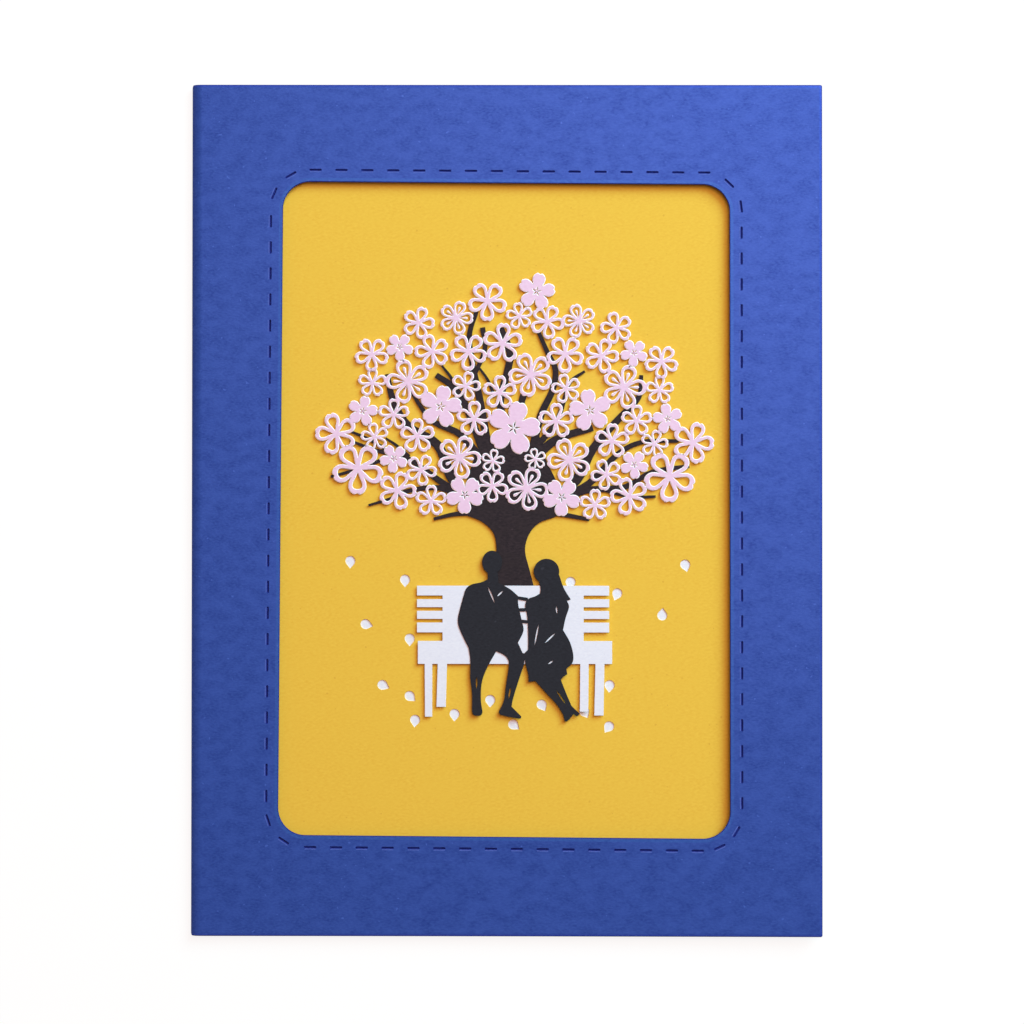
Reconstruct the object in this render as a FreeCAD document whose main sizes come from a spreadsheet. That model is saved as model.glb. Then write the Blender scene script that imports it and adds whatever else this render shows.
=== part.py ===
import FreeCAD, Part
import Sketcher
import math
import os

# Pop up card: a folded blue cover with a window, lying closed on its back.
# Behind the window are a yellow page with petal cut-outs over a white sheet, and a
# paper-cut scene that stands off the page: tree, blossom, bench and a couple.
# X runs across the card, Y up the card, Z out of its front. The origin is under its middle.

SIZES = [
    # The folded cover and the window in its front
    ("card_width", 148.0),
    ("card_height", 200.0),
    ("cover_card", 0.35),
    ("fold_radius", 0.3),
    ("window_width", 105.5),
    ("window_height", 153.5),
    ("window_radius", 6.0),
    ("window_shift", -0.7),
    # The row of short slits that runs round the window like stitching
    ("slit_offset", 2.8),
    ("slit_length", 2.8),
    ("slit_width", 0.3),
    ("row_slits", 16),
    ("column_slits", 24),
    # The inside sheets
    ("sheet_inset", 2.0),
    ("backing_card", 0.25),
    ("page_card", 0.3),
    ("petal_length", 3.0),
    ("petal_width", 2.35),
    # The paper-cut scene and the folded strips that hold it off the page
    ("scene_card", 0.25),
    ("tree_lift", 0.4),
    ("strip_ply", 0.12),
    ("strip_width", 3.0),
    ("tree_strip_length", 14.0),
    ("tree_strip_across", 1.0),
    ("tree_strip_up", -6.0),
    ("bench_strip_length", 4.0),
    ("cover_clearance", 0.3),
    # The bench
    ("bench_middle", 1.3),
    ("bench_top", -17.8),
    ("bench_back_width", 45.2),
    ("bench_back_height", 11.0),
    ("bench_seat_gap", 2.0),
    ("bench_seat_width", 45.8),
    ("bench_seat_height", 5.4),
    ("bench_slot_length", 6.0),
    ("bench_slot_height", 0.75),
    ("bench_slat_pitch", 2.75),
    ("bench_leg_width", 2.0),
    ("bench_outer_leg", 12.4),
    ("bench_inner_leg", 10.2),
    ("bench_outer_inset", 3.0),
    ("bench_leg_gap", 1.6),
    # The slits in the couple's clothes, and how far a cut runs past the edge that it opens
    ("clothes_slit", 0.3),
    ("overrun", 1.0),
]

# How close an edge is to where it is looked for, and to the way it should run
NEAR = 0.01
PARALLEL = 0.99

doc = FreeCAD.newDocument("pop_up_card")
sizes = doc.addObject("Spreadsheet::Sheet", "Sizes")
for row, (alias, number) in enumerate(SIZES, start=1):
    sizes.set(f"A{row}", alias)
    sizes.set(f"B{row}", str(number))
    sizes.setAlias(f"B{row}", alias)
doc.recompute()


def value(expression):
    """The number that an expression gives now."""
    result = sizes.evalExpression(expression)
    return float(getattr(result, "Value", result))


def size(alias):
    return value(f"Sizes.{alias}")


# Heights of the sheets, from the table up
BACKING_BASE = "Sizes.cover_card"
PAGE_BASE = f"{BACKING_BASE} + Sizes.backing_card"
STRIP_BASE = f"{PAGE_BASE} + Sizes.page_card"
TREE_BASE = f"{STRIP_BASE} + Sizes.tree_lift"
BENCH_BASE = f"{TREE_BASE} + Sizes.scene_card"
COUPLE_BASE = f"{BENCH_BASE} + Sizes.scene_card"
COVER_UNDERSIDE = f"{COUPLE_BASE} + Sizes.scene_card + Sizes.cover_clearance"

pieces = []


# Helpers for pieces made by padding and pocketing sketches
def new_body(label, up):
    """A piece whose own zero height stands at the expression up."""
    body = doc.addObject("PartDesign::Body", label)
    body.Label = label
    body.setExpression(".Placement.Base.z", up)
    pieces.append(body)
    return body


def origin_feature(body, role):
    for feature in body.Origin.OriginFeatures:
        if feature.Role == role:
            return feature
    raise RuntimeError(f"{body.Label} has no {role}")


def new_sketch(body, name, plane="XY_Plane"):
    sketch = body.newObject("Sketcher::SketchObject", name)
    sketch.AttachmentSupport = [(origin_feature(body, plane), "")]
    sketch.MapMode = "FlatFace"
    return sketch


def draw_outline(sketch, corners):
    """A closed run of straight lines through corners, each an (x, y) pair of expressions."""
    first = sketch.GeometryCount
    points = [FreeCAD.Vector(value(x), value(y), 0) for x, y in corners]
    following = points[1:] + points[:1]
    sketch.addGeometry([Part.LineSegment(*ends) for ends in zip(points, following)], False)
    rules = []
    expressions = []
    for step, (point, corner) in enumerate(zip(points, corners)):
        line = first + step
        after = first + (step + 1) % len(points)
        rules.append(Sketcher.Constraint("DistanceX", -1, 1, line, 1, point.x))
        rules.append(Sketcher.Constraint("DistanceY", -1, 1, line, 1, point.y))
        rules.append(Sketcher.Constraint("Coincident", line, 2, after, 1))
        expressions += [corner[0], corner[1], None]
    known = sketch.ConstraintCount
    sketch.addConstraint(rules)
    for index, expression in enumerate(expressions, start=known):
        if expression:
            sketch.setExpression(f"Constraints[{index}]", expression)


def draw_box(sketch, left, bottom, right, top):
    draw_outline(sketch, [(left, bottom), (right, bottom), (right, top), (left, top)])


def pad(body, sketch, height, both_ways=False):
    feature = body.newObject("PartDesign::Pad", f"{sketch.Name}_pad")
    feature.Profile = sketch
    feature.setExpression("Length", height)
    if both_ways:
        feature.SideType = "Symmetric"
    doc.recompute()
    return feature


def cut_through(body, sketch):
    """A hole upwards through the sheet, tested by the volume that it takes away."""
    before = body.Shape.Volume
    feature = body.newObject("PartDesign::Pocket", f"{sketch.Name}_cut")
    feature.Profile = sketch
    feature.Type = "ThroughAll"
    feature.Reversed = True
    doc.recompute()
    if body.Shape.Volume >= before:
        raise RuntimeError(f"{sketch.Name} cuts nothing")
    return feature


def round_edges(body, name, base, test, radius):
    """A fillet on the edges of base whose middle and direction pass the test."""
    chosen = []
    for index, edge in enumerate(base.Shape.Edges, start=1):
        middle = edge.CenterOfMass
        along = edge.tangentAt(edge.FirstParameter)
        if test(middle, along):
            chosen.append(f"Edge{index}")
    feature = body.newObject("PartDesign::Fillet", name)
    feature.Base = (base, chosen)
    feature.setExpression("Radius", radius)
    doc.recompute()
    return feature


def upright_edge_within(half_x, half_y):
    """A test for upright edges that are no further out than this from the piece's middle."""
    def test(middle, along):
        inside = abs(middle.x) < half_x + NEAR and abs(middle.y) < half_y + NEAR
        return abs(along.z) > PARALLEL and inside
    return test


def long_edge_at(x, z):
    """A test for the edge that runs up the card at x and z."""
    def test(middle, along):
        there = abs(middle.x - x) < NEAR and abs(middle.z - z) < NEAR
        return abs(along.y) > PARALLEL and there
    return test


def repeat_along(body, cut, role, run, count):
    """The same cut, count times over the length run."""
    pattern = body.newObject("PartDesign::LinearPattern", f"{cut.Name}_row")
    pattern.Originals = [cut]
    pattern.Direction = (origin_feature(body, role), [""])
    pattern.setExpression("Length", run)
    pattern.setExpression("Occurrences", count)
    body.Tip = pattern
    doc.recompute()
    return pattern


# The cover, one folded card: the front swings as a book's cover does, so it is its own node
HALF_WIDTH = "Sizes.card_width / 2"
HALF_HEIGHT = "Sizes.card_height / 2"


def make_back_cover():
    """The back panel and the narrow spine that stands up along the fold."""
    body = new_body("back_cover", "0 mm")
    sketch = new_sketch(body, "back_cover_section", "XZ_Plane")
    spine = f"-{HALF_WIDTH} + Sizes.cover_card"
    draw_outline(sketch, [
        (f"-{HALF_WIDTH}", "0"),
        (HALF_WIDTH, "0"),
        (HALF_WIDTH, "Sizes.cover_card"),
        (spine, "Sizes.cover_card"),
        (spine, COVER_UNDERSIDE),
        (f"-{HALF_WIDTH}", COVER_UNDERSIDE),
    ])
    panel = pad(body, sketch, "Sizes.card_height", both_ways=True)
    fold = long_edge_at(-size("card_width") / 2, 0)
    round_edges(body, "back_fold", panel, fold, "Sizes.fold_radius")


# Where the two slits at each rounded corner stand on its arc, in degrees
CORNER_TURNS = (30, 60)


def make_front_cover():
    """The front panel, drawn about the window's middle, with the window and its slits."""
    body = new_body("front_cover", COVER_UNDERSIDE)
    body.setExpression(".Placement.Base.x", "Sizes.window_shift")
    outline = new_sketch(body, "front_outline")
    left = f"-{HALF_WIDTH} - Sizes.window_shift"
    right = f"{HALF_WIDTH} - Sizes.window_shift"
    draw_box(outline, left, f"-{HALF_HEIGHT}", right, HALF_HEIGHT)
    panel = pad(body, outline, "Sizes.cover_card")
    fold = long_edge_at(value(left), size("cover_card"))
    round_edges(body, "front_fold", panel, fold, "Sizes.fold_radius")

    half_x = "Sizes.window_width / 2"
    half_y = "Sizes.window_height / 2"
    window = new_sketch(body, "window")
    draw_box(window, f"-{half_x}", f"-{half_y}", half_x, half_y)
    opening = cut_through(body, window)
    corner = upright_edge_within(value(half_x), value(half_y))
    round_edges(body, "window_corners", opening, corner, "Sizes.window_radius")

    half_slit = "Sizes.slit_width / 2"
    row_x = f"({half_x} - Sizes.window_radius)"
    row_y = f"({half_y} + Sizes.slit_offset)"
    column_x = f"({half_x} + Sizes.slit_offset)"
    column_y = f"({half_y} - Sizes.window_radius)"
    reach = "(Sizes.window_radius + Sizes.slit_offset)"
    for quarter, (side_x, side_y) in enumerate([(1, 1), (-1, 1), (-1, -1), (1, -1)]):
        for turn in CORNER_TURNS:
            slit = new_sketch(body, f"corner_slit_{quarter}_{turn}")
            draw_box(slit, "-Sizes.slit_length / 2", f"-{half_slit}",
                     "Sizes.slit_length / 2", half_slit)
            place = ".AttachmentOffset"
            slit.setExpression(f"{place}.Base.x", f"{side_x} * ({row_x} + {reach} * cos({turn}))")
            slit.setExpression(f"{place}.Base.y", f"{side_y} * ({column_y} + {reach} * sin({turn}))")
            slit.setExpression(f"{place}.Rotation.Angle", f"{side_x * side_y} * ({turn} + 90)")
            cut_through(body, slit)

    rows = new_sketch(body, "row_slits")
    for side in ("", "-"):
        draw_box(rows, f"-{row_x}", f"{side}{row_y} - {half_slit}",
                 f"-{row_x} + Sizes.slit_length", f"{side}{row_y} + {half_slit}")
    cut = cut_through(body, rows)
    repeat_along(body, cut, "X_Axis", f"2 * {row_x} - Sizes.slit_length", "Sizes.row_slits")

    columns = new_sketch(body, "column_slits")
    for side in ("", "-"):
        draw_box(columns, f"{side}{column_x} - {half_slit}", f"-{column_y}",
                 f"{side}{column_x} + {half_slit}", f"-{column_y} + Sizes.slit_length")
    cut = cut_through(body, columns)
    repeat_along(body, cut, "Y_Axis", f"2 * {column_y} - Sizes.slit_length",
                 "Sizes.column_slits")


# The inside sheets
def make_inside_sheet(label, up, thickness):
    """A sheet that lies inside the fold, inset from the cover's three open edges."""
    body = new_body(label, up)
    sketch = new_sketch(body, f"{label}_outline")
    left = f"-{HALF_WIDTH} + Sizes.cover_card + Sizes.cover_clearance"
    draw_box(sketch, left, f"-{HALF_HEIGHT} + Sizes.sheet_inset",
             f"{HALF_WIDTH} - Sizes.sheet_inset", f"{HALF_HEIGHT} - Sizes.sheet_inset")
    pad(body, sketch, thickness)
    return body


# Fallen petals: across, up, and the way that the pointed end faces in degrees
PETALS = [
    (-36.9, -12.0, 268), (-24.0, -16.4, 270), (-33.3, -26.9, 340), (-22.9, -30.3, 270),
    (-29.3, -41.2, 290), (-22.9, -43.8, 318), (-21.6, -49.4, 265), (-12.3, -48.0, 268),
    (-3.9, -44.7, 268), (1.5, -50.5, 322), (8.2, -45.8, 300), (15.0, -16.9, 255),
    (26.0, -19.6, 248), (24.2, -41.2, 266), (24.1, -50.9, 236), (36.6, -24.8, 85),
    (42.0, -12.8, 285), (18.2, -47.4, 300),
]


# Where the corners of a petal's round head stand about its middle, in degrees
PETAL_TURNS = (55, 110, 165, 195, 250, 305)


def make_page():
    """The yellow page with the petals cut out of it."""
    body = make_inside_sheet("page", PAGE_BASE, "Sizes.page_card")
    head = "Sizes.petal_width / 2"
    corners = [(f"Sizes.petal_length - {head}", "0")]
    corners += [(f"{head} * cos({turn})", f"{head} * sin({turn})") for turn in PETAL_TURNS]
    for number, (across, up, facing) in enumerate(PETALS, start=1):
        sketch = new_sketch(body, f"petal_{number}")
        turn = FreeCAD.Rotation(FreeCAD.Vector(0, 0, 1), facing)
        sketch.AttachmentOffset = FreeCAD.Placement(FreeCAD.Vector(across, up, 0), turn)
        draw_outline(sketch, corners)
        cut_through(body, sketch)


# The bench, one white sheet: slatted back, seat and four legs
def make_bench():
    body = new_body("bench", BENCH_BASE)
    body.setExpression(".Placement.Base.x", "Sizes.bench_middle")
    body.setExpression(".Placement.Base.y", "Sizes.bench_top")
    back_x = "Sizes.bench_back_width / 2"
    seat_x = "Sizes.bench_seat_width / 2"
    inner_x = f"{back_x} - Sizes.bench_slot_length"
    seat_top = "-(Sizes.bench_back_height + Sizes.bench_seat_gap)"
    seat_bottom = f"{seat_top} - Sizes.bench_seat_height"
    outline = new_sketch(body, "bench_outline")
    draw_outline(outline, [
        (f"-{back_x}", "0"), (f"-{back_x}", "-Sizes.bench_back_height"),
        (f"-({inner_x})", "-Sizes.bench_back_height"), (f"-({inner_x})", seat_top),
        (f"-{seat_x}", seat_top), (f"-{seat_x}", seat_bottom),
        (seat_x, seat_bottom), (seat_x, seat_top),
        (inner_x, seat_top), (inner_x, "-Sizes.bench_back_height"),
        (back_x, "-Sizes.bench_back_height"), (back_x, "0"),
    ])
    pad(body, outline, "Sizes.scene_card")

    slots = new_sketch(body, "bench_slots")
    beyond = f"{back_x} + Sizes.overrun"
    slot_base = "-(Sizes.bench_slat_pitch + Sizes.bench_slot_height / 2)"
    for left, right in ((f"-({beyond})", f"-({inner_x})"), (inner_x, beyond)):
        draw_box(slots, left, slot_base, right, f"{slot_base} + Sizes.bench_slot_height")
    cut = cut_through(body, slots)
    pattern = repeat_along(body, cut, "Y_Axis", "2 * Sizes.bench_slat_pitch", "3")
    pattern.Reversed = True
    doc.recompute()

    legs = new_sketch(body, "bench_legs")
    outer_left = f"-{seat_x} + Sizes.bench_outer_inset / 2"
    outer_right = f"{seat_x} - Sizes.bench_outer_inset / 2"
    overlap = f"{seat_bottom} + Sizes.overrun"
    step = "Sizes.bench_leg_width"
    spread = "Sizes.bench_leg_gap"
    outer_foot = f"{seat_bottom} - Sizes.bench_outer_leg"
    inner_foot = f"{seat_bottom} - Sizes.bench_inner_leg"
    draw_box(legs, outer_left, outer_foot, f"{outer_left} + {step}", overlap)
    draw_box(legs, f"{outer_right} - {step}", outer_foot, outer_right, overlap)
    draw_box(legs, f"{outer_left} + {step} + {spread}", inner_foot,
             f"{outer_left} + 2 * {step} + {spread}", overlap)
    draw_box(legs, f"{outer_right} - 2 * {step} - {spread}", inner_foot,
             f"{outer_right} - {step} - {spread}", overlap)
    pad(body, legs, "Sizes.scene_card")


# The folded strips that hold the scene off the page
def make_strip(label, lift, length, middle_x, middle_y):
    """A strip folded flat like a hairpin: one ply on the page, one under the sheet it holds."""
    body = new_body(label, STRIP_BASE)
    body.setExpression(".Placement.Base.x", middle_x)
    body.setExpression(".Placement.Base.y", middle_y)
    sketch = new_sketch(body, f"{label}_section", "XZ_Plane")
    half = "Sizes.strip_width / 2"
    draw_outline(sketch, [
        (f"-{half}", "0"),
        (half, "0"),
        (half, "Sizes.strip_ply"),
        (f"-{half} + Sizes.strip_ply", "Sizes.strip_ply"),
        (f"-{half} + Sizes.strip_ply", f"{lift} - Sizes.strip_ply"),
        (half, f"{lift} - Sizes.strip_ply"),
        (half, lift),
        (f"-{half}", lift),
    ])
    pad(body, sketch, length, both_ways=True)


def make_strips():
    make_strip("tree_strip", "Sizes.tree_lift", "Sizes.tree_strip_length",
               "Sizes.tree_strip_across", "Sizes.tree_strip_up")
    bench_lift = "Sizes.tree_lift + Sizes.scene_card"
    seat_y = ("Sizes.bench_top - Sizes.bench_back_height - Sizes.bench_seat_gap"
              " - Sizes.bench_seat_height / 2")
    out = "(Sizes.bench_seat_width / 2 - Sizes.strip_width)"
    make_strip("bench_strip_left", bench_lift, "Sizes.bench_strip_length",
               f"Sizes.bench_middle - {out}", seat_y)
    make_strip("bench_strip_right", bench_lift, "Sizes.bench_strip_length",
               f"Sizes.bench_middle + {out}", seat_y)


# Helpers for the free outlines of the paper-cut scene
def vector(point):
    return FreeCAD.Vector(point[0], point[1], 0)


def curve_or_line(points):
    """One edge through points: straight through two, a smooth curve through more."""
    if len(points) == 2:
        return Part.makeLine(vector(points[0]), vector(points[1]))
    curve = Part.BSplineCurve()
    curve.interpolate([vector(point) for point in points])
    return curve.toShape()


def stroke_face(strokes):
    """A flat face inside strokes that run on from each other and close."""
    edges = []
    last = strokes[-1][-1]
    for stroke in strokes:
        edges.append(curve_or_line([last] + stroke))
        last = stroke[-1]
    return Part.Face(Part.Wire(edges))


def polygon_face(points):
    """A flat face with a straight cut from each point to the next."""
    return Part.Face(Part.makePolygon([vector(point) for point in points + points[:1]]))


def slit_face(start, end, width):
    """A narrow slit from start to end."""
    along = vector(end) - vector(start)
    aside = FreeCAD.Vector(-along.y, along.x, 0).normalize() * (width / 2)
    corners = [vector(start) + aside, vector(start) - aside,
               vector(end) - aside, vector(end) + aside]
    return Part.Face(Part.makePolygon(corners + corners[:1]))


def joined(label, faces, holes):
    """One flat face inside the outer edges of all the faces, with the holes left out."""
    owners = {}
    for face in faces[0].multiFuse(faces[1:]).Faces:
        for edge in face.Edges:
            owners.setdefault(edge.hashCode(), []).append(edge)
    rim = [edges[0] for edges in owners.values() if len(edges) == 1]
    wires = [Part.Wire(chain) for chain in Part.sortEdges(rim)]
    wires += [hole.OuterWire for hole in holes]
    flat = Part.makeFace(wires, "Part::FaceMakerBullseye")
    if len(flat.Faces) != 1:
        raise RuntimeError(f"{label} falls into {len(flat.Faces)} pieces")
    return flat.Faces[0]


def add_scene_sheet(label, faces, holes, up):
    """One sheet of scene card that covers faces less holes, its underside at up."""
    rise = FreeCAD.Vector(0, 0, size("scene_card"))
    piece = doc.addObject("Part::Feature", label)
    piece.Label = label
    piece.Shape = joined(label, faces, holes).extrude(rise)
    piece.Placement.Base = FreeCAD.Vector(0, 0, value(up))
    pieces.append(piece)


# The tree: a trunk that spreads into a crown, and limbs that taper to their tips
TRUNK = [
    [(-6.2, -2.6), (-3.6, -4.8), (-2.6, -7.5), (-2.7, -11.5), (-4.6, -22.0)],
    [(7.4, -22.0)],
    [(5.3, -14.0), (4.3, -10.0), (4.6, -7.2), (5.9, -4.6), (8.0, -2.8), (11.4, -1.6)],
    [(13.4, 1.6)],
    [(11.5, 7.0), (8.9, 12.5), (7.6, 17.6)],
    [(4.2, 14.6), (1.6, 19.6)],
    [(-1.4, 15.6), (-5.2, 17.6)],
    [(-7.8, 12.0), (-9.8, 6.0), (-11.4, 1.6)],
    [(-9.2, -1.4)],
]
# Each limb: its width at the root and at the tip, then points from root to tip
LIMBS = [
    (1.3, 0.7, [(-7.5, -0.6), (-12.5, -1.0), (-17.2, -2.1)]),
    (1.5, 0.5, [(-9.0, 2.0), (-15.8, 5.2), (-23.6, 4.4), (-27.6, 2.6), (-32.6, 1.1)]),
    (1.7, 0.6, [(-10.0, 3.0), (-16.3, 7.2), (-23.8, 12.4), (-30.0, 13.8), (-37.0, 16.3)]),
    (0.9, 0.6, [(-27.0, 12.9), (-34.0, 10.0), (-41.5, 7.8)]),
    (0.9, 0.6, [(-27.0, 13.2), (-32.0, 16.4), (-36.6, 18.4)]),
    (0.8, 0.5, [(-23.0, 12.6), (-26.0, 15.2), (-28.6, 16.9)]),
    (2.7, 1.2, [(-10.0, 3.6), (-13.4, 8.4), (-16.4, 15.4), (-23.2, 19.8), (-26.8, 25.8),
                (-28.2, 32.0)]),
    (1.9, 0.7, [(-6.6, 12.6), (-11.0, 17.8), (-17.0, 20.6), (-19.8, 23.6), (-23.2, 29.0)]),
    (1.9, 1.3, [(-5.6, 14.0), (-8.2, 20.8), (-10.4, 26.0), (-13.2, 29.4), (-16.7, 31.8)]),
    (0.9, 0.5, [(-11.6, 28.0), (-13.2, 31.2), (-15.4, 34.0)]),
    (1.9, 1.0, [(-4.4, 14.4), (-6.4, 26.0), (-8.0, 33.6), (-8.9, 41.0), (-7.2, 46.8)]),
    (1.0, 1.2, [(-7.6, 32.0), (-5.2, 38.0), (-5.8, 43.0)]),
    (0.8, 0.5, [(-3.0, 26.6), (-4.4, 30.4), (-6.8, 33.8)]),
    (1.7, 1.7, [(0.8, 17.0), (-1.6, 25.0), (0.2, 33.0), (0.6, 37.4), (-1.8, 43.2)]),
    (1.2, 1.6, [(1.4, 17.4), (2.6, 22.4), (3.9, 27.2)]),
    (1.9, 0.9, [(6.0, 14.4), (8.0, 22.4), (10.6, 28.0), (11.4, 33.0), (9.4, 37.4),
                (7.4, 42.0)]),
    (1.5, 0.6, [(6.8, 14.8), (11.4, 20.4), (13.4, 25.8), (14.9, 30.2), (18.3, 32.7)]),
    (2.3, 1.5, [(7.4, 13.4), (12.4, 17.0), (20.2, 19.4)]),
    (2.7, 0.9, [(10.0, 2.0), (16.4, 7.2), (20.2, 14.4), (26.2, 21.4), (31.0, 26.6),
                (31.6, 31.8)]),
    (1.9, 0.8, [(11.0, 2.0), (19.2, 6.2), (25.6, 12.8), (31.6, 16.0), (40.4, 16.3)]),
    (1.8, 0.9, [(11.0, 1.0), (18.4, 4.6), (27.6, 5.4), (34.2, 9.0), (42.9, 10.4)]),
    (0.9, 0.6, [(22.0, 5.0), (29.0, 3.2), (35.0, 3.2)]),
    (1.4, 0.8, [(9.0, -0.4), (13.6, -1.1), (19.4, -2.2)]),
]


def limb_face(root_width, tip_width, points):
    """A limb that narrows from root to tip, with a straight run from each point to the next."""
    left = []
    right = []
    last = len(points) - 1
    for step, point in enumerate(points):
        before = vector(points[max(step - 1, 0)])
        after = vector(points[min(step + 1, last)])
        along = (after - before).normalize()
        reach = (root_width + (tip_width - root_width) * step / last) / 2
        left.append((point[0] - along.y * reach, point[1] + along.x * reach))
        right.append((point[0] + along.y * reach, point[1] - along.x * reach))
    return polygon_face(left + right[::-1])


def make_tree():
    faces = [stroke_face(TRUNK)] + [limb_face(*limb) for limb in LIMBS]
    add_scene_sheet("tree", faces, [], TREE_BASE)


# The blossom: one sheet of linked five-petal flowers, mirrored about a line that leans a little
BLOSSOM_AXIS = 1.36
BLOSSOM_LEAN = -1.4
PAIRED_FLOWERS = [
    # distance from the axis, height, radius, the way one petal faces, open or solid
    (23.3, 43.5, 3.8, 0, "open"), (34.1, 35.8, 4.0, 270, "open"),
    (27.6, 37.7, 3.2, 273, "solid"), (14.5, 44.9, 4.0, 0, "double"),
    (19.95, 36.8, 4.1, 180, "open"), (11.4, 37.0, 4.4, 270, "open"),
    (25.4, 29.6, 5.2, 180, "double"), (33.8, 29.1, 3.4, 90, "open"),
    (11.8, 28.9, 3.5, 75, "open"), (17.6, 23.9, 4.9, 80, "solid"),
    (9.65, 21.2, 4.2, 90, "open"), (28.6, 21.8, 3.7, 90, "open"),
    (35.9, 22.4, 3.5, 78, "solid"), (42.0, 16.9, 4.9, 180, "open"),
    (32.9, 16.4, 3.3, 174, "open"), (22.9, 16.85, 4.1, 92, "open"),
    (28.3, 11.4, 3.3, 265, "solid"), (13.0, 12.1, 5.2, -5, "double"),
    (36.7, 8.85, 6.0, 270, "open"), (21.8, 8.9, 3.7, -8, "open"),
    (27.3, 3.9, 4.5, 0, "open"), (19.3, 1.7, 3.7, 90, "open"),
    (11.4, 3.3, 4.4, 270, "solid"), (5.0, 12.1, 2.6, 78, "open"),
]
SINGLE_FLOWERS = [
    (-7.0, 49.2, 4.9, 270, "open"), (4.7, 51.6, 4.3, 80, "solid"),
    (0.4, 45.7, 3.2, 172, "open"), (7.0, 44.5, 4.0, -8, "open"),
    (-3.4, 39.2, 4.7, 88, "open"), (3.4, 32.0, 5.2, 260, "double"),
    (-3.8, 27.6, 4.3, 90, "open"), (0.1, 19.3, 6.4, 75, "solid"),
    (-5.0, 5.5, 3.8, 273, "open"), (3.1, 5.15, 5.2, -5, "double"),
]
PETAL_COUNT = 5
# A petal and its hole, as degrees off the petal's middle line and shares of the radius
PETAL_EDGE = [(-36, 0.42), (-15, 0.96), (15, 0.96)]
PETAL_HOLE = [(0, 0.24), (-13, 0.76), (13, 0.76)]
LINK = 1.12
# Flowers at least this big keep the ribs between their holes, in the smaller ones the holes join
RIBBED = 4.5
JOINED_HOLE = [(-13, 0.76), (13, 0.76), (36, 0.22)]


def all_flowers():
    """Every flower as x, y, radius, facing and kind, upright about the axis."""
    flowers = list(SINGLE_FLOWERS)
    for out, up, radius, facing, kind in PAIRED_FLOWERS:
        flowers.append((-out, up, radius, facing, kind))
        flowers.append((out, up, radius, 180 - facing, kind))
    return flowers


def petal_points(flower, edge, petal, reach=1):
    """The points of one petal's edge or hole."""
    across, up, radius, facing, kind = flower
    points = []
    for off, share in edge:
        angle = math.radians(facing + 360 / PETAL_COUNT * petal + off)
        distance = radius * share * reach
        points.append((across + distance * math.cos(angle), up + distance * math.sin(angle)))
    return points


def around(flower, edge, reach=1):
    """The same points of every petal, one petal after the other."""
    return sum([petal_points(flower, edge, petal, reach) for petal in range(PETAL_COUNT)], [])


def make_blossom():
    outlines = []
    holes = []
    for flower in all_flowers():
        outlines.append(polygon_face(around(flower, PETAL_EDGE, LINK)))
        radius, kind = flower[2], flower[4]
        if kind != "solid" and radius < RIBBED:
            holes.append(polygon_face(around(flower, JOINED_HOLE)))
        elif kind != "solid":
            for petal in range(PETAL_COUNT):
                holes.append(polygon_face(petal_points(flower, PETAL_HOLE, petal)))
    for face in outlines + holes:
        face.rotate(FreeCAD.Vector(0, 0, 0), FreeCAD.Vector(0, 0, 1), BLOSSOM_LEAN)
        face.translate(FreeCAD.Vector(BLOSSOM_AXIS, 0, 0))
    add_scene_sheet("blossom", outlines, holes, BENCH_BASE)


# The couple, one black sheet: two figures side by side, linked by an arm
MAN_BODY = [
    [(-6.1, -17.0), (-8.3, -17.5), (-9.6, -18.5), (-10.2, -20.2)],
    [(-10.9, -22.8), (-11.5, -25.4), (-11.3, -27.4), (-10.2, -30.0), (-9.0, -32.4)],
    [(-8.6, -35.2), (-8.6, -39.4), (-8.2, -43.0), (-8.2, -47.4)],
    [(-7.7, -48.2), (-6.2, -48.3), (-5.7, -47.5)],
    [(-6.1, -44.6), (-5.9, -40.6), (-4.7, -37.2), (-2.5, -33.2)],
    [(-0.6, -34.1), (0.4, -35.4), (0.4, -37.4)],
    [(-0.2, -41.2), (-0.7, -44.8), (-1.9, -47.4)],
    [(-1.6, -48.1)],
    [(1.0, -48.7), (3.1, -49.0), (3.4, -48.5)],
    [(2.3, -47.4), (1.1, -46.2)],
    [(1.5, -44.2), (2.6, -40.6), (4.0, -36.4)],
    [(4.4, -33.8)],
    [(3.7, -33.6)],
    [(2.6, -31.2)],
    [(3.9, -28.4), (3.5, -26.0), (2.7, -22.4), (2.6, -20.2)],
    [(1.0, -18.8), (-0.8, -17.7), (-2.0, -17.2)],
    [(-2.3, -14.0)],
    [(-4.6, -14.0)],
    [(-4.5, -16.3)],
]
WOMAN_BODY = [
    [(6.6, -20.3), (5.0, -20.9), (4.3, -22.4), (4.8, -25.0), (5.0, -29.4), (5.0, -32.8)],
    [(4.0, -33.8)],
    [(4.4, -36.2), (5.0, -38.4), (5.1, -40.4)],
    [(6.7, -40.2)],
    [(9.6, -43.4), (11.8, -45.8), (13.3, -48.2)],
    [(13.6, -49.5), (14.2, -49.6), (15.2, -48.6), (15.6, -47.9)],
    [(16.4, -48.4), (17.1, -47.9), (16.2, -47.0), (15.2, -46.0)],
    [(14.0, -43.2), (12.7, -39.9)],
    [(13.3, -39.2), (14.2, -38.6)],
    [(14.0, -37.3)],
    [(15.4, -35.9), (15.6, -33.9), (14.8, -31.0), (13.2, -28.2)],
    [(13.8, -25.4), (14.6, -22.8), (14.1, -21.3)],
    [(15.0, -21.0)],
    [(13.4, -18.4), (12.4, -15.6), (11.6, -13.6)],
    [(6.9, -14.0)],
    [(7.4, -16.4), (7.9, -18.2), (7.8, -19.6)],
]
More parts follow.
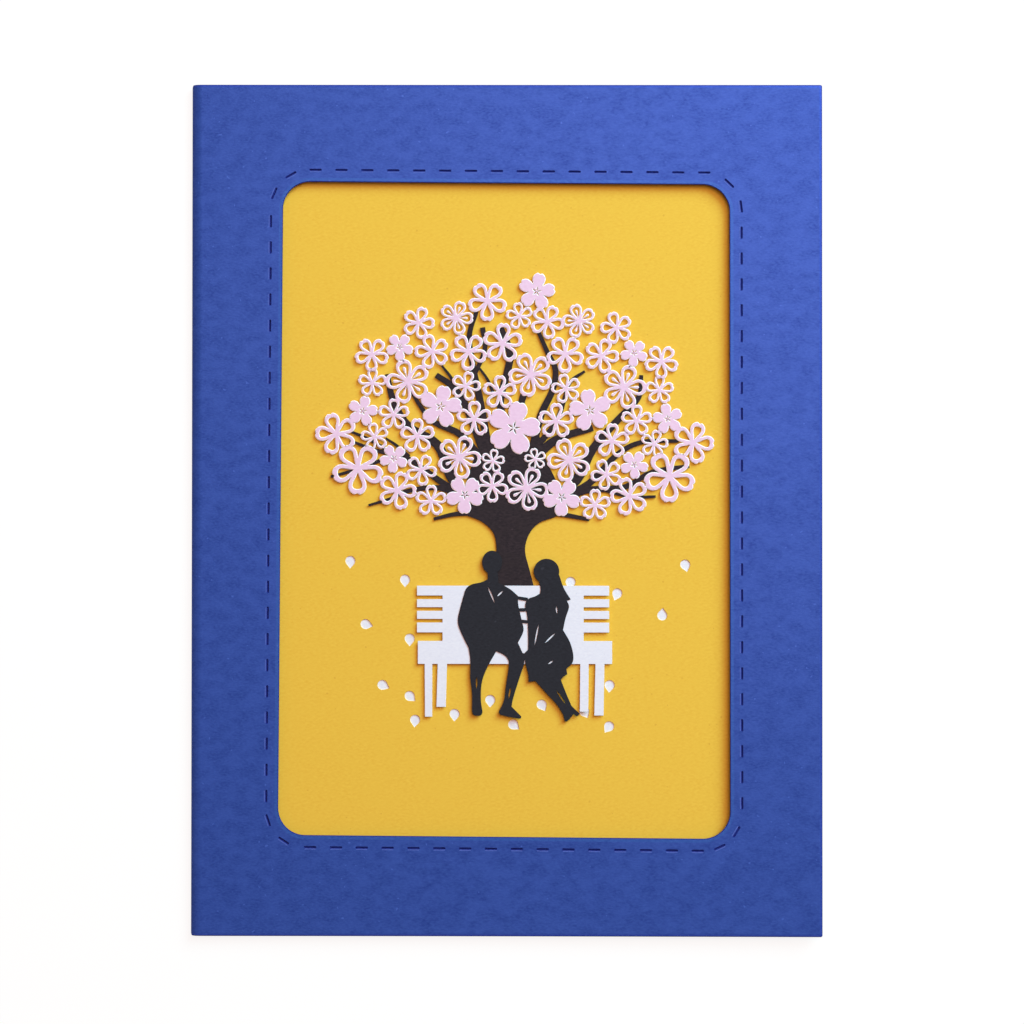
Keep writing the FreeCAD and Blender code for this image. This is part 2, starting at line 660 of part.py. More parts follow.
# Heads are plain ovals: middle, half width, half height
HEADS = [((-3.5, -12.3), 2.35, 2.75), ((9.3, -14.4), 3.0, 2.95)]
ARM_LINKS = [((2.2, -20.4), (4.9, -21.0), 0.5), ((2.3, -23.5), (4.9, -23.4), 0.5),
             ((3.0, -26.1), (5.1, -26.3), 0.6)]
CLOTHES_SLITS = [
    ((-4.4, -18.4), (-3.0, -21.4)), ((-2.2, -20.1), (-1.0, -19.2)),
    ((11.6, -22.6), (11.8, -24.4)), ((7.3, -27.4), (6.6, -31.4)),
    ((11.4, -28.9), (8.9, -31.3)), ((10.9, -35.4), (9.7, -36.2)),
    ((11.5, -42.2), (13.9, -45.7)), ((-7.1, -39.2), (-7.1, -42.0)),
    ((0.9, -41.6), (0.4, -44.4)),
]


def head_face(middle, half_width, half_height):
    major = max(half_width, half_height)
    minor = min(half_width, half_height)
    oval = Part.Ellipse(vector(middle), major, minor)
    if half_height > half_width:
        oval.rotate(FreeCAD.Placement(vector(middle), FreeCAD.Rotation(90, 0, 0), vector((0, 0))))
    return Part.Face(Part.Wire(oval.toShape()))


def make_couple():
    faces = [polygon_face(sum(runs, [])) for runs in (MAN_BODY, WOMAN_BODY)]
    faces += [head_face(*head) for head in HEADS]
    faces += [slit_face(*link) for link in ARM_LINKS]
    slits = [slit_face(start, end, size("clothes_slit")) for start, end in CLOTHES_SLITS]
    add_scene_sheet("couple", faces, slits, COUPLE_BASE)


make_back_cover()
make_front_cover()
make_inside_sheet("backing_sheet", BACKING_BASE, "Sizes.backing_card")
make_page()
make_strips()
make_tree()
make_blossom()
make_bench()
make_couple()

doc.recompute()
for item in doc.Objects:
    if "Invalid" in item.State or "Error" in item.State:
        raise RuntimeError(f"{item.Label} failed to compute")
os.makedirs("parts", exist_ok=True)
for piece in pieces:
    shape = piece.Shape
    if shape.isNull() or not shape.isValid() or len(shape.Solids) != 1:
        raise RuntimeError(f"{piece.Label} is not one sound solid")
for piece in pieces:
    piece.Shape.exportStep(f"parts/{piece.Label}.step")
    box = piece.Shape.BoundBox
    print(f"{piece.Label}: z {box.ZMin:.2f} to {box.ZMax:.2f}, volume {piece.Shape.Volume:.1f}")
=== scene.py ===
# %% [markdown]
# # Dressing a pop up card
# The card is one folded sheet of blue card with a window in its front. Behind the window are
# a yellow page and a scene cut from coloured paper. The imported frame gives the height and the
# reach of each sheet. This file cuts the same sheets again with smooth outlines, softens their
# edges and gives each one a paper finish. Where nothing else is said, sizes are in millimetres,
# and MM turns them into Blender's metres.

# %% Load the frame
import math

import bmesh
import bpy
from mathutils import Matrix, Vector, geometry


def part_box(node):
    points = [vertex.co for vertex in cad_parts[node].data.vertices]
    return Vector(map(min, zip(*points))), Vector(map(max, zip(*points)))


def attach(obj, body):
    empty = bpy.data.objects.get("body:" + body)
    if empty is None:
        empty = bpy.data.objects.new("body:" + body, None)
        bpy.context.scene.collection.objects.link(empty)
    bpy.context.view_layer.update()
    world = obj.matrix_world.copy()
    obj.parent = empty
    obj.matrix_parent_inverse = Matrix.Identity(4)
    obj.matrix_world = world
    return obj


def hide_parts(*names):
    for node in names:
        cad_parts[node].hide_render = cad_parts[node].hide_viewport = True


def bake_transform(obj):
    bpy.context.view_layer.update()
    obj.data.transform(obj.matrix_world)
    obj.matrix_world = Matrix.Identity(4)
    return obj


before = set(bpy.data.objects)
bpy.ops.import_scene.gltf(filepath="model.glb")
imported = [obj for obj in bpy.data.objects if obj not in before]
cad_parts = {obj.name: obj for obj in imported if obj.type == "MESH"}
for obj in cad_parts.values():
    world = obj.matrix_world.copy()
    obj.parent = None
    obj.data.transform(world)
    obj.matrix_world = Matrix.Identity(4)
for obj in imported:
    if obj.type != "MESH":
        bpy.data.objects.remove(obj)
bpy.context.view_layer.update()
MM = 0.001
print("CAD nodes:", ", ".join(sorted(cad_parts)))

# %% [markdown]
# ## Curves on flat paper
# A paper cut is drawn flat before it is cut. Each outline is a few points that a person could
# mark on the sheet, and a Catmull-Rom curve runs smoothly through them. Corners stay sharp
# because a curve ends at each one and the next one starts there.

# %% Smooth curves and rounded corners
def curve_through(points, steps):
    """Points on a smooth curve through the marked ones, with both ends."""
    marks = [Vector(point) for point in points]
    marks = [2 * marks[0] - marks[1]] + marks + [2 * marks[-1] - marks[-2]]
    curve = [marks[1]]
    for a, b, c, d in zip(marks, marks[1:], marks[2:], marks[3:]):
        for step in range(1, steps + 1):
            t = step / steps
            bend = (2 * a - 5 * b + 4 * c - d) * t ** 2 + (3 * b - a - 3 * c + d) * t ** 3
            curve.append((2 * b + (c - a) * t + bend) / 2)
    return curve


def outline_of(runs, steps=5):
    """A closed outline from runs of points that follow on from each other."""
    outline = []
    last = runs[-1][-1]
    for run in runs:
        if len(run) == 1:
            outline.append(Vector(run[0]))
        else:
            outline += curve_through([last] + run, steps)[1:]
        last = run[-1]
    return outline


def arc(middle, start, end, steps):
    """Points from start to end round middle, the short way."""
    first = start - middle
    last = end - middle
    turn = math.atan2(first.cross(last), first.dot(last))
    return [middle + Matrix.Rotation(turn * step / steps, 2) @ first
            for step in range(steps + 1)]


def rounded(corners, radius, steps=8):
    """A closed outline with each corner rounded to the radius."""
    outline = []
    for index, corner in enumerate(corners):
        here = Vector(corner)
        back = (Vector(corners[index - 1]) - here).normalized()
        ahead = (Vector(corners[(index + 1) % len(corners)]) - here).normalized()
        half = back.angle(ahead) / 2
        middle = here + (back + ahead).normalized() * (radius / math.sin(half))
        reach = radius / math.tan(half)
        outline += arc(middle, here + back * reach, here + ahead * reach, steps)
    return outline


print("a rounded square has", len(rounded([(0, 0), (4, 0), (4, 4), (0, 4)], 1)), "points")

# %% [markdown]
# ## From flat shapes to a sheet
# A sheet is a list of flat shapes in the order in which they are laid down. Each one is a hole
# or paper with one of the sheet's finishes, and where shapes overlap the last one counts.
# Blender's Delaunay triangulation cuts all their lines into triangles and tells which shapes
# each triangle lies in, so linked flowers become one sheet with no boolean modifier. The sheet
# then gets its thickness, and a narrow slope round every cut, because a real cut edge is soft
# and catches the light.

# %% Cut the shapes
# What a shape is: a hole, or the place of its finish in the sheet's list of materials. The last
# three place the cover's finishes of painted highlight
HOLE, PAPER, CUT, PRESSED_HIGHLIGHT, LIP_HIGHLIGHT, HIGHLIGHT_BAND = -1, 0, 1, 2, 3, 4
# Points closer together than this count as one
NEARLY_SAME = 0.0001
# Blender's number for keeping every triangle, inside the shapes or not
EVERY_TRIANGLE = 0


def signed_area(points):
    return sum(a.cross(b) for a, b in zip(points, points[1:] + points[:1])) / 2


def cut_out(shapes, spare_points):
    """The points of the flat sheet, its triangles and what each triangle is."""
    points = []
    faces = []
    for outline, _ in shapes:
        loop = [Vector(point) for point in outline]
        if signed_area(loop) < 0:
            loop.reverse()
        faces.append(list(range(len(points), len(points) + len(loop))))
        points += loop
    points += [Vector(point) for point in spare_points]
    flat, _, triangles, _, _, owners = geometry.delaunay_2d_cdt(
        points, [], faces, EVERY_TRIANGLE, NEARLY_SAME)
    kinds = [shapes[max(owner)][1] if owner else HOLE for owner in owners]
    return flat, [pair for pair in zip(triangles, kinds) if pair[1] != HOLE]


def cut_edges(triangles):
    """The edges that only one triangle has, in that triangle's direction."""
    directed = set()
    for a, b, c in triangles:
        directed |= {(a, b), (b, c), (c, a)}
    return [(a, b) for a, b in directed if (b, a) not in directed]


square = [(0, 0), (4, 0), (4, 4), (0, 4)]
print("a plain square is", len(cut_out([(square, PAPER)], [])[1]), "triangles")

# %% Build a sheet
# How far the slope round a cut drops, as a share of its width
RIM_SLOPE = 0.6


def to_metres(x, y, z):
    return Vector((x, y, z)) * MM


def thick_sheet(flat, pieces, low, high, chamfer):
    """The closed solid of a cut sheet, with a slope round every cut."""
    triangles = [triangle for triangle, kind in pieces]
    work = bmesh.new()
    tops = {}
    bottoms = {}
    for index in sorted({corner for triangle in triangles for corner in triangle}):
        tops[index] = work.verts.new((*flat[index], high))
        bottoms[index] = work.verts.new((*flat[index], low))
    upper = []
    for triangle, kind in pieces:
        upper.append(work.faces.new([tops[index] for index in triangle]))
        upper[-1].material_index = kind
        work.faces.new([bottoms[index] for index in reversed(triangle)])
    walls = []
    for a, b in cut_edges(triangles):
        walls.append(work.faces.new([tops[b], tops[a], bottoms[a], bottoms[b]]))
    work.normal_update()
    rim = bmesh.ops.inset_region(work, faces=upper, thickness=chamfer)
    outer = {vert for wall in walls for vert in wall.verts if vert.co.z > (low + high) / 2}
    for vert in outer:
        vert.co.z -= chamfer * RIM_SLOPE
    # Walls and slopes get the sheet's cut-edge finish: on the cover a painted shade, on the
    # blossom a painted highlight
    for face in walls + rim["faces"]:
        face.material_index = CUT
    return work


def make_sheet(name, shapes, low, high, chamfer, materials, place=to_metres, spare_points=()):
    """A sheet from low to high with one material for each kind of paper."""
    work = thick_sheet(*cut_out(shapes, spare_points), low, high, chamfer)
    for vert in work.verts:
        vert.co = place(*vert.co)
    work.normal_update()
    mesh = bpy.data.meshes.new(name)
    work.to_mesh(mesh)
    work.free()
    for material in materials:
        mesh.materials.append(material)
    piece = bpy.data.objects.new(name, mesh)
    bpy.context.scene.collection.objects.link(piece)
    print(f"{name}: {len(mesh.polygons)} faces from {len(shapes)} shapes")
    return piece


print("a sheet's slope drops", RIM_SLOPE, "of its width")

# %% [markdown]
# ## What paper looks like close up
# Coloured paper is never one flat colour. Its pulp lies in soft clouds, single fibres cross
# each other, and here and there a speck of another fibre shows. One node group makes those
# masks for every paper in the card, so each material only says how fine its grain is and how
# strongly the masks colour it. The fibres are two stretched noises that cross.

# %% Helpers for nodes
def new_node(tree, kind, **settings):
    node = tree.nodes.new(kind)
    for name, setting in settings.items():
        setattr(node, name, setting)
    return node


def stretched_noise(tree, position, degrees, stretch, scale_socket, detail):
    """A noise whose spots are drawn out along a line at that many degrees."""
    turned = new_node(tree, "ShaderNodeMapping")
    turned.inputs["Rotation"].default_value = (0, 0, -math.radians(degrees))
    turned.inputs["Scale"].default_value = (stretch, 1, 1)
    tree.links.new(position, turned.inputs["Vector"])
    noise = new_node(tree, "ShaderNodeTexNoise")
    noise.inputs["Detail"].default_value = detail
    tree.links.new(turned.outputs[0], noise.inputs["Vector"])
    tree.links.new(scale_socket, noise.inputs["Scale"])
    return noise.outputs["Fac"]


def between(tree, value, low, high):
    """The value stretched so that low becomes 0 and high becomes 1."""
    node = new_node(tree, "ShaderNodeMapRange")
    node.inputs["From Min"].default_value = low
    node.inputs["From Max"].default_value = high
    tree.links.new(value, node.inputs["Value"])
    return node.outputs["Result"]


def calculate(tree, operation, first, second):
    node = new_node(tree, "ShaderNodeMath", operation=operation)
    for socket, value in zip(node.inputs, (first, second)):
        if isinstance(value, (int, float)):
            socket.default_value = value
        else:
            tree.links.new(value, socket)
    return node.outputs[0]


print("node helpers ready")

# %% The shared paper grain
# The ways that the two kinds of fibre and the clouds lie, in degrees
FIBRE_WAYS = (28, 115)
CLOUD_WAY = 70
# Their scale along that way, as a share of the scale across it
FIBRE_STRETCH = 0.5
CLOUD_STRETCH = 0.6
# How many clouds and specks there are for each fibre
CLOUDS_PER_FIBRE = 0.16
SPECKS_PER_FIBRE = 0.5
GRAIN_DETAIL = 3


def make_paper_grain():
    tree = bpy.data.node_groups.new("paper_grain", "ShaderNodeTree")
    tree.interface.new_socket("Fibres per metre", in_out="INPUT", socket_type="NodeSocketFloat")
    for name in ("Fibre", "Cloud", "Speck", "Height"):
        tree.interface.new_socket(name, in_out="OUTPUT", socket_type="NodeSocketFloat")
    given = new_node(tree, "NodeGroupInput").outputs["Fibres per metre"]
    result = new_node(tree, "NodeGroupOutput")
    position = new_node(tree, "ShaderNodeTexCoord").outputs["Object"]
    along, across = [stretched_noise(tree, position, way, FIBRE_STRETCH, given, GRAIN_DETAIL)
                     for way in FIBRE_WAYS]
    crossed = calculate(tree, "ADD", along, across)
    cloud_scale = calculate(tree, "MULTIPLY", given, CLOUDS_PER_FIBRE)
    cloud = stretched_noise(tree, position, CLOUD_WAY, CLOUD_STRETCH, cloud_scale, GRAIN_DETAIL)
    speck_scale = calculate(tree, "MULTIPLY", given, SPECKS_PER_FIBRE)
    speck = stretched_noise(tree, position, 0, 1, speck_scale, 0)
    # Each mask, its noise, and the noise's values at which the mask is 0 and 1
    for mask, noise, low, high in (("Fibre", crossed, 0.75, 1.25), ("Cloud", cloud, 0.35, 0.65),
                                   ("Speck", speck, 0.82, 0.87)):
        tree.links.new(between(tree, noise, low, high), result.inputs[mask])
    tree.links.new(crossed, result.inputs["Height"])
    return tree


paper_grain = make_paper_grain()
print("paper grain nodes:", len(paper_grain.nodes))

# %% [markdown]
# ## A material for each paper
# Every paper is the same Principled shader, matt and hardly shiny, with the grain's masks
# between its own colours. Colours are written as on a colour chart, and Blender wants them
# linear, so a helper turns one into the other. The blue card also has a faint pearl sheen: it
# is a little metallic, which makes it shine in its own colour.

# %% How a paper is made
PLAIN_ROUGHNESS = 0.85
PEARL_ROUGHNESS = 0.4
PEARL = 0.36
PLAIN_SHINE = 0.2
PEARL_SHINE = 0.03
CLOUD_STRENGTH = 0.5
GRAIN_DEPTH = 0.03


def colour(code):
    """Blender's linear colour for a written one, such as 3F59B0."""
    shares = [int(code[place:place + 2], 16) / 255 for place in (0, 2, 4)]
    return [share / 12.92 if share <= 0.04045 else ((share + 0.055) / 1.055) ** 2.4
            for share in shares] + [1]


def mixed(tree, mask, first, second):
    """first where the mask is 0 and second where it is 1."""
    node = new_node(tree, "ShaderNodeMix", data_type="RGBA")
    tree.links.new(mask, node.inputs[0])
    for socket, value in ((node.inputs[6], first), (node.inputs[7], second)):
        if isinstance(value, list):
            socket.default_value = value
        else:
            tree.links.new(value, socket)
    return node.outputs[2]


def make_paper(name, deep, light, cloud, speck, fibres, relief,
               roughness=PLAIN_ROUGHNESS, pearl=0):
    """A paper between the colours deep and light, with clouds and specks of two others.

    fibres is their number per metre, relief how strongly they stand out, and pearl how
    strongly the paper shines in its own colour."""
    material = bpy.data.materials.new(name)
    material.use_nodes = True
    tree = material.node_tree
    shader = tree.nodes["Principled BSDF"]
    shader.inputs["Roughness"].default_value = roughness
    shader.inputs["Specular IOR Level"].default_value = PEARL_SHINE if pearl else PLAIN_SHINE
    shader.inputs["Metallic"].default_value = pearl
    grain = new_node(tree, "ShaderNodeGroup", node_tree=paper_grain)
    grain.inputs["Fibres per metre"].default_value = fibres
    fibred = mixed(tree, grain.outputs["Fibre"], colour(deep), colour(light))
    cloudy = calculate(tree, "MULTIPLY", grain.outputs["Cloud"], CLOUD_STRENGTH)
    clouded = mixed(tree, cloudy, fibred, colour(cloud))
    specked = mixed(tree, grain.outputs["Speck"], clouded, colour(speck))
    tree.links.new(specked, shader.inputs["Base Color"])
    bump = new_node(tree, "ShaderNodeBump")
    bump.inputs["Strength"].default_value = relief
    bump.inputs["Distance"].default_value = GRAIN_DEPTH * MM
    tree.links.new(grain.outputs["Height"], bump.inputs["Height"])
    tree.links.new(bump.outputs["Normal"], shader.inputs["Normal"])
    return material


print("a grey of 808080 is", round(colour("808080")[0], 3), "of white in light")

# %% Build the papers
blue_card = make_paper("blue_card", "29408D", "344F9D", "3B57AA", "405DB1", 2600, 0.5,
                       PEARL_ROUGHNESS, PEARL)
# A dark navy for the cover's cut walls, rims and slit flaps: painted shade in the cuts
blue_cut_shade = make_paper("blue_cut_edge_painted_shade", "17257A", "202F88", "1B2A80", "283890", 2600, 0.3)
# The pressed edges shade by their real bend; this bluer blue adds a painted highlight along them
blue_edge_highlight = make_paper("blue_pressed_edge_highlight", "2C4199", "384FAA", "334BA2", "3F57B0", 2600, 0.4,
                       PEARL_ROUGHNESS, PEARL)
# A brighter blue for the band round the window: a painted highlight along its edge
blue_highlight_band = make_paper("blue_window_painted_highlight", "2D4C97", "395BA8", "3454A2", "4061B0", 2600, 0.4,
                        PEARL_ROUGHNESS, PEARL)
# A light blue beside each slit: a painted highlight on the side of the cut that faces the light
blue_slit_highlight = make_paper("blue_slit_painted_highlight", "465CAE", "546AC0", "4E64B8", "5A70C4", 2600, 0.2)
yellow_paper = make_paper("yellow_paper", "EBBD42", "F2C94C", "EFC548", "E3B340", 2200, 0.3)
yellow_cut = make_paper("yellow_cut_edge", "E8BC50", "F2CC62", "EEC45A", "E6B850", 2200, 0.2)
white_paper = make_paper("white_paper", "E6EAF9", "EFF3FF", "EAEEFD", "DFE4F4", 2400, 0.3)
dark_paper = make_paper("dark_paper", "231C22", "352B30", "2C2427", "40343A", 2400, 0.5)
dark_cut = make_paper("dark_cut_edge", "241E24", "30282E", "2A2329", "3A3238", 2400, 0.3)
pink_paper = make_paper("pink_paper", "ECCAE9", "F3D5F1", "EFCFEC", "E4BEE0", 2400, 0.3)
# Near white for the slope round every pink cut: a painted highlight along the blossom's edges
pink_cut_highlight = make_paper("pink_cut_edge_painted_highlight", "FFF4FE", "FFFBFF", "FFF8FF", "FAECF8", 2400, 0.2)
black_paper = make_paper("black_paper", "202027", "292A32", "25262D", "33343D", 2400, 0.5)
black_cut = make_paper("black_cut_edge", "1A1C22", "24262D", "1F2127", "30323A", 2400, 0.3)
print("papers:", len(bpy.data.materials))

# %% [markdown]
# ## The folded cover
# The cover is cut flat, window and slits with it, and then folded once. So the sheet is built
# flat too: u is the way from the fold, to the front for plus and to the back for minus, and v
# runs up the card. A function then bends every point round the fold. The front stands a
# little proud towards its free lower corner, as the front of a closed card does.

# %% Sizes of the cover
_, back_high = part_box("back_cover")
front_low, front_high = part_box("front_cover")
HALF_WIDTH = back_high.x / MM
HALF_HEIGHT = back_high.y / MM
COVER_TOP = front_high.z / MM
COVER_CARD = (front_high.z - front_low.z) / MM
# How far across the fold is round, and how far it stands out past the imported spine
FOLD_DEPTH = 2.2
FOLD_BULGE = 0.2
# How far the free lower corner stands proud, and the share of it at the free upper corner
FREE_LIFT = 1.0
HEAD_LIFT_SHARE = 0.35
# How far the pressed edges bend inwards, how wide they are, and the width of the band of painted
# highlight round the window
EDGE_DROOP = 0.14
PRESSED_EDGE = 0.6
WINDOW_BAND_WIDTH = 0.9
fold_across = FOLD_DEPTH - COVER_CARD / 2 + FOLD_BULGE
fold_up = (COVER_TOP - COVER_CARD) / 2
fold_arc = math.pi / 2 * math.sqrt((fold_across ** 2 + fold_up ** 2) / 2)
panel = 2 * HALF_WIDTH - FOLD_DEPTH
print(f"panel {panel:.1f} mm, half of the fold {fold_arc:.2f} mm round")

# %% Bend the flat card round its fold
def front_lift(x, y):
    """How far the front stands proud at x and y."""
    out = max(x + HALF_WIDTH - FOLD_DEPTH, 0) / panel
    down = (HALF_HEIGHT - y) / (2 * HALF_HEIGHT)
    return FREE_LIFT * out ** 2 * (HEAD_LIFT_SHARE + (1 - HEAD_LIFT_SHARE) * down)


def edge_droop(u, v):
    """How far the card bends inwards close to its three free edges."""
    inside = min(fold_arc + panel - abs(u), HALF_HEIGHT - abs(v))
    return EDGE_DROOP * max(1 - inside / PRESSED_EDGE, 0)


def folded(u, v, out):
    """Where a point of the flat card is once it is folded. out is from its middle layer."""
    out -= edge_droop(u, v)
    side = 1 if u > 0 else -1
    turn = min(abs(u) / fold_arc, 1) * math.pi / 2
    x = FOLD_DEPTH - HALF_WIDTH - fold_across * math.cos(turn) + max(abs(u) - fold_arc, 0)
    z = COVER_TOP / 2 + side * fold_up * math.sin(turn)
    facing = Vector((-math.cos(turn) / fold_across, side * math.sin(turn) / fold_up))
    facing.normalize()
    x += out * facing.x
    z += out * facing.y
    if side > 0:
        z += front_lift(x, v)
    return to_metres(x, v, z)


def on_front(point):
    """A point of the front, from the card's middle, on the flat card."""
    return Vector((point[0] + HALF_WIDTH - FOLD_DEPTH + fold_arc, point[1]))


print("the free lower corner is lifted by", front_lift(HALF_WIDTH, -HALF_HEIGHT), "mm")

# %% The window and one slit
# Clockwise from the upper left
WINDOW_CORNERS = [(-52.7, 77.2), (52.25, 76.5), (52.4, -77.1), (-53.7, -76.3)]
WINDOW_RADIUS = 6.4
SLIT_OFFSET = 2.8
SLIT_LENGTH = 2.65
SLIT_WIDTH = 0.26
# Where a slit starts to narrow, as a share of its half length
SLIT_SHOULDER = 0.93
# How far the painted highlight beside a slit is moved from it, and to which side: its lower left,
# where the slit's wall would face the light
HIGHLIGHT_OFFSET = 0.4
HIGHLIGHT_SIDE = Vector((-1, -1))


def slit(middle, along):
    """A short slit with blunt ends."""
    aside = Vector((-along.y, along.x)) * SLIT_WIDTH / 2
    end = along * SLIT_LENGTH / 2
    shoulder = end * SLIT_SHOULDER
    return [middle - end - aside / 2, middle - shoulder - aside, middle + shoulder - aside,
            middle + end - aside / 2, middle + end + aside / 2, middle + shoulder + aside,
            middle - shoulder + aside, middle - end + aside / 2]


def highlight_beside(marks):
    """The slit moved aside, so that a thin band of painted highlight shows beside the cut, where
    its wall would catch the light.
    """
    along = (marks[3] - marks[0]).normalized()
    aside = Vector((-along.y, along.x)) * HIGHLIGHT_OFFSET
    return [point + math.copysign(1, aside.dot(HIGHLIGHT_SIDE)) * aside for point in marks]


print("points round a slit:", len(slit(Vector((0, 0)), Vector((1, 0)))))

# %% Slits all round the window
# Clockwise from the top: how many slits a row has, and how far the middles of its first and
# last one are from the corners
SLIT_ROWS = ((16, 7.6, 6.0), (23, 11.3, 8.4), (16, 7.6, 7.6), (23, 9.1, 9.4))
# How far round each corner its two slits are, in degrees
CORNER_TURNS = ((23, 60), (43, 82), (31, 65), (33, 71))


def side_slits(start, end, count, before, after):
    """The row of slits outside one side of the window."""
    along = (end - start).normalized()
    outwards = Vector((-along.y, along.x))
    first = start + along * before + outwards * SLIT_OFFSET
    run = (end - start).length - before - after
    return [slit(first + along * run * step / (count - 1), along) for step in range(count)]


def corner_slits(corner, before, after, turns):
    """The two slits round one corner of the window."""
    back = (before - corner).normalized()
    ahead = (after - corner).normalized()
    half = back.angle(ahead) / 2
    middle = corner + (back + ahead).normalized() * (WINDOW_RADIUS / math.sin(half))
    start = Vector((back.y, -back.x)) * (WINDOW_RADIUS + SLIT_OFFSET)
    slits = []
    for degrees in turns:
        spoke = Matrix.Rotation(-math.radians(degrees), 2) @ start
        slits.append(slit(middle + spoke, Vector((spoke.y, -spoke.x)).normalized()))
    return slits


window_corners = [Vector(corner) for corner in WINDOW_CORNERS]
front_slits = []
for index, corner in enumerate(window_corners):
    following = window_corners[(index + 1) % 4]
    front_slits += side_slits(corner, following, *SLIT_ROWS[index])
    front_slits += corner_slits(corner, window_corners[index - 1], following,
                                CORNER_TURNS[index])
print("slits:", len(front_slits))

# %% Where the flat card has its points
CORNER_ROUNDING = 0.4
CORNER_STEPS = 3
# How far apart the points are: on the panels, round the fold and along it
PANEL_SPACING = 6.0
FOLD_SPACING = 0.3
FOLD_HEIGHT_SPACING = 10.0
# How far the close points go on past the fold
FOLD_MARGIN = 0.5


def spaced(start, end, spacing):
    count = max(round((end - start) / spacing), 1)
    return [start + (end - start) * step / count for step in range(1, count)]


reach = fold_arc + panel
bend_lines = spaced(-fold_arc - FOLD_MARGIN, fold_arc + FOLD_MARGIN, FOLD_SPACING)
flat_lines = spaced(fold_arc + 2 * FOLD_MARGIN, reach, PANEL_SPACING)
across_lines = [-u for u in reversed(flat_lines)] + bend_lines + flat_lines
up_lines = spaced(-HALF_HEIGHT, HALF_HEIGHT, PANEL_SPACING)


def card_outline(inset):
    """The flat card without a border. It has a point wherever it may have to bend."""
    side = reach - inset
    head = HALF_HEIGHT - inset
    arcs = rounded([(-side, -head), (side, -head), (side, head), (-side, head)],
                   CORNER_ROUNDING, CORNER_STEPS)
    edges = [[(u, -head) for u in across_lines], [(side, v) for v in up_lines],
             [(u, head) for u in reversed(across_lines)], [(-side, v) for v in reversed(up_lines)]]
    arc_points = CORNER_STEPS + 1
    outline = []
    for corner, edge in enumerate(edges):
        outline += arcs[arc_points * corner:arc_points * (corner + 1)]
        outline += [Vector(point) for point in edge]
    return outline


def cover_spare_points():
    """Points inside the flat card, close together where it bends."""
    points = [(u, v) for u in bend_lines
              for v in spaced(-HALF_HEIGHT, HALF_HEIGHT, FOLD_HEIGHT_SPACING)]
    for u in flat_lines + [-u for u in flat_lines]:
        points += [(u, v) for v in up_lines]
    return points


print("points inside the flat card:", len(cover_spare_points()))

# %% Cut and fold the cover
COVER_CHAMFER = 0.16
# A second line inside the pressed edges and round the window, for even shading
SHADING_STEP = 0.25
WINDOW_STEPS = 12
# Edges that turn by more than this, in degrees, stay sharp
SHARP_TURN = 25


def window_outline(border):
    """The window with a border round it, on the flat card."""
    corners = [(x + math.copysign(border, x), y + math.copysign(border, y))
               for x, y in WINDOW_CORNERS]
    return [on_front(point) for point in rounded(corners, WINDOW_RADIUS + border, WINDOW_STEPS)]


inner_border = PRESSED_EDGE + SHADING_STEP
# The pressed edges, a band round the window and a lip beside each slit get lighter blues of
# painted highlight
cover_shapes = [(card_outline(0), PRESSED_HIGHLIGHT), (card_outline(PRESSED_EDGE), PAPER),
                (card_outline(inner_border), PAPER), (window_outline(inner_border), PAPER),
                (window_outline(WINDOW_BAND_WIDTH), HIGHLIGHT_BAND), (window_outline(0), HOLE)]
flat_slits = [[on_front(point) for point in marks] for marks in front_slits]
cover_shapes += [(highlight_beside(marks), LIP_HIGHLIGHT) for marks in flat_slits]
cover_shapes += [(marks, HOLE) for marks in flat_slits]
cover = make_sheet("folded_cover", cover_shapes, -COVER_CARD / 2, COVER_CARD / 2, COVER_CHAMFER,
                   [blue_card, blue_cut_shade, blue_edge_highlight, blue_slit_highlight, blue_highlight_band], folded,
                   cover_spare_points())
cover.data.shade_smooth()
cover.data.set_sharp_from_angle(angle=math.radians(SHARP_TURN))
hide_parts("front_cover", "back_cover")
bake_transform(cover)

# %% [markdown]
# A blade only presses each slit open, so a thin flap of card still closes it from below. Flaps and
# cut walls get a dark navy, painted shade that stands for the dark inside of each slit.

# %% Flaps of painted shade that close the slits
FLAP_MARGIN = 1.2
FLAP_GAP = 0.01
FLAP_TOP = -COVER_CARD / 2 - FLAP_GAP
FLAP_THICKNESS = 0.04
FLAP_CHAMFER = 0.01


def widened(marks):
    middle = sum(marks, Vector((0, 0))) / len(marks)
    return [middle + (point - middle) * FLAP_MARGIN for point in marks]


shade_flaps = make_sheet("slit_flaps_painted_shade", [(widened(marks), PAPER) for marks in flat_slits],
                   FLAP_TOP - FLAP_THICKNESS, FLAP_TOP, FLAP_CHAMFER, [blue_cut_shade, blue_cut_shade],
                   folded)
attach(shade_flaps, "front")

# %% [markdown]
# ## The yellow page and the white sheet under it
# Fallen petals are cut out of the page, and the white sheet behind shows through them. Each
# petal is a round head that runs to a point, so its outline is an arc and two tangents. Both
# sheets end inside the rounded fold, short of the card itself.

# %% Petals cut out of the page
PETAL_HEAD = 1.17
PETAL_LENGTH = 3.0
HEAD_STEPS = 16
# Across, up, and the way that the pointed end faces in degrees
PETALS = [
    (-36.9, -12.0, 268), (-24.0, -16.4, 270), (-33.3, -26.9, 345), (-22.9, -30.3, 270),
    (-29.3, -41.2, 335), (-22.9, -43.8, 318), (-21.6, -49.4, 265), (-12.3, -48.0, 268),
    (-3.9, -44.7, 268), (1.5, -50.5, 322), (8.2, -45.8, 300), (15.0, -16.9, 255),
    (26.0, -19.6, 248), (24.2, -41.2, 266), (24.1, -50.9, 236), (36.6, -24.8, 85),
    (42.0, -12.8, 285), (18.2, -47.4, 300),
]


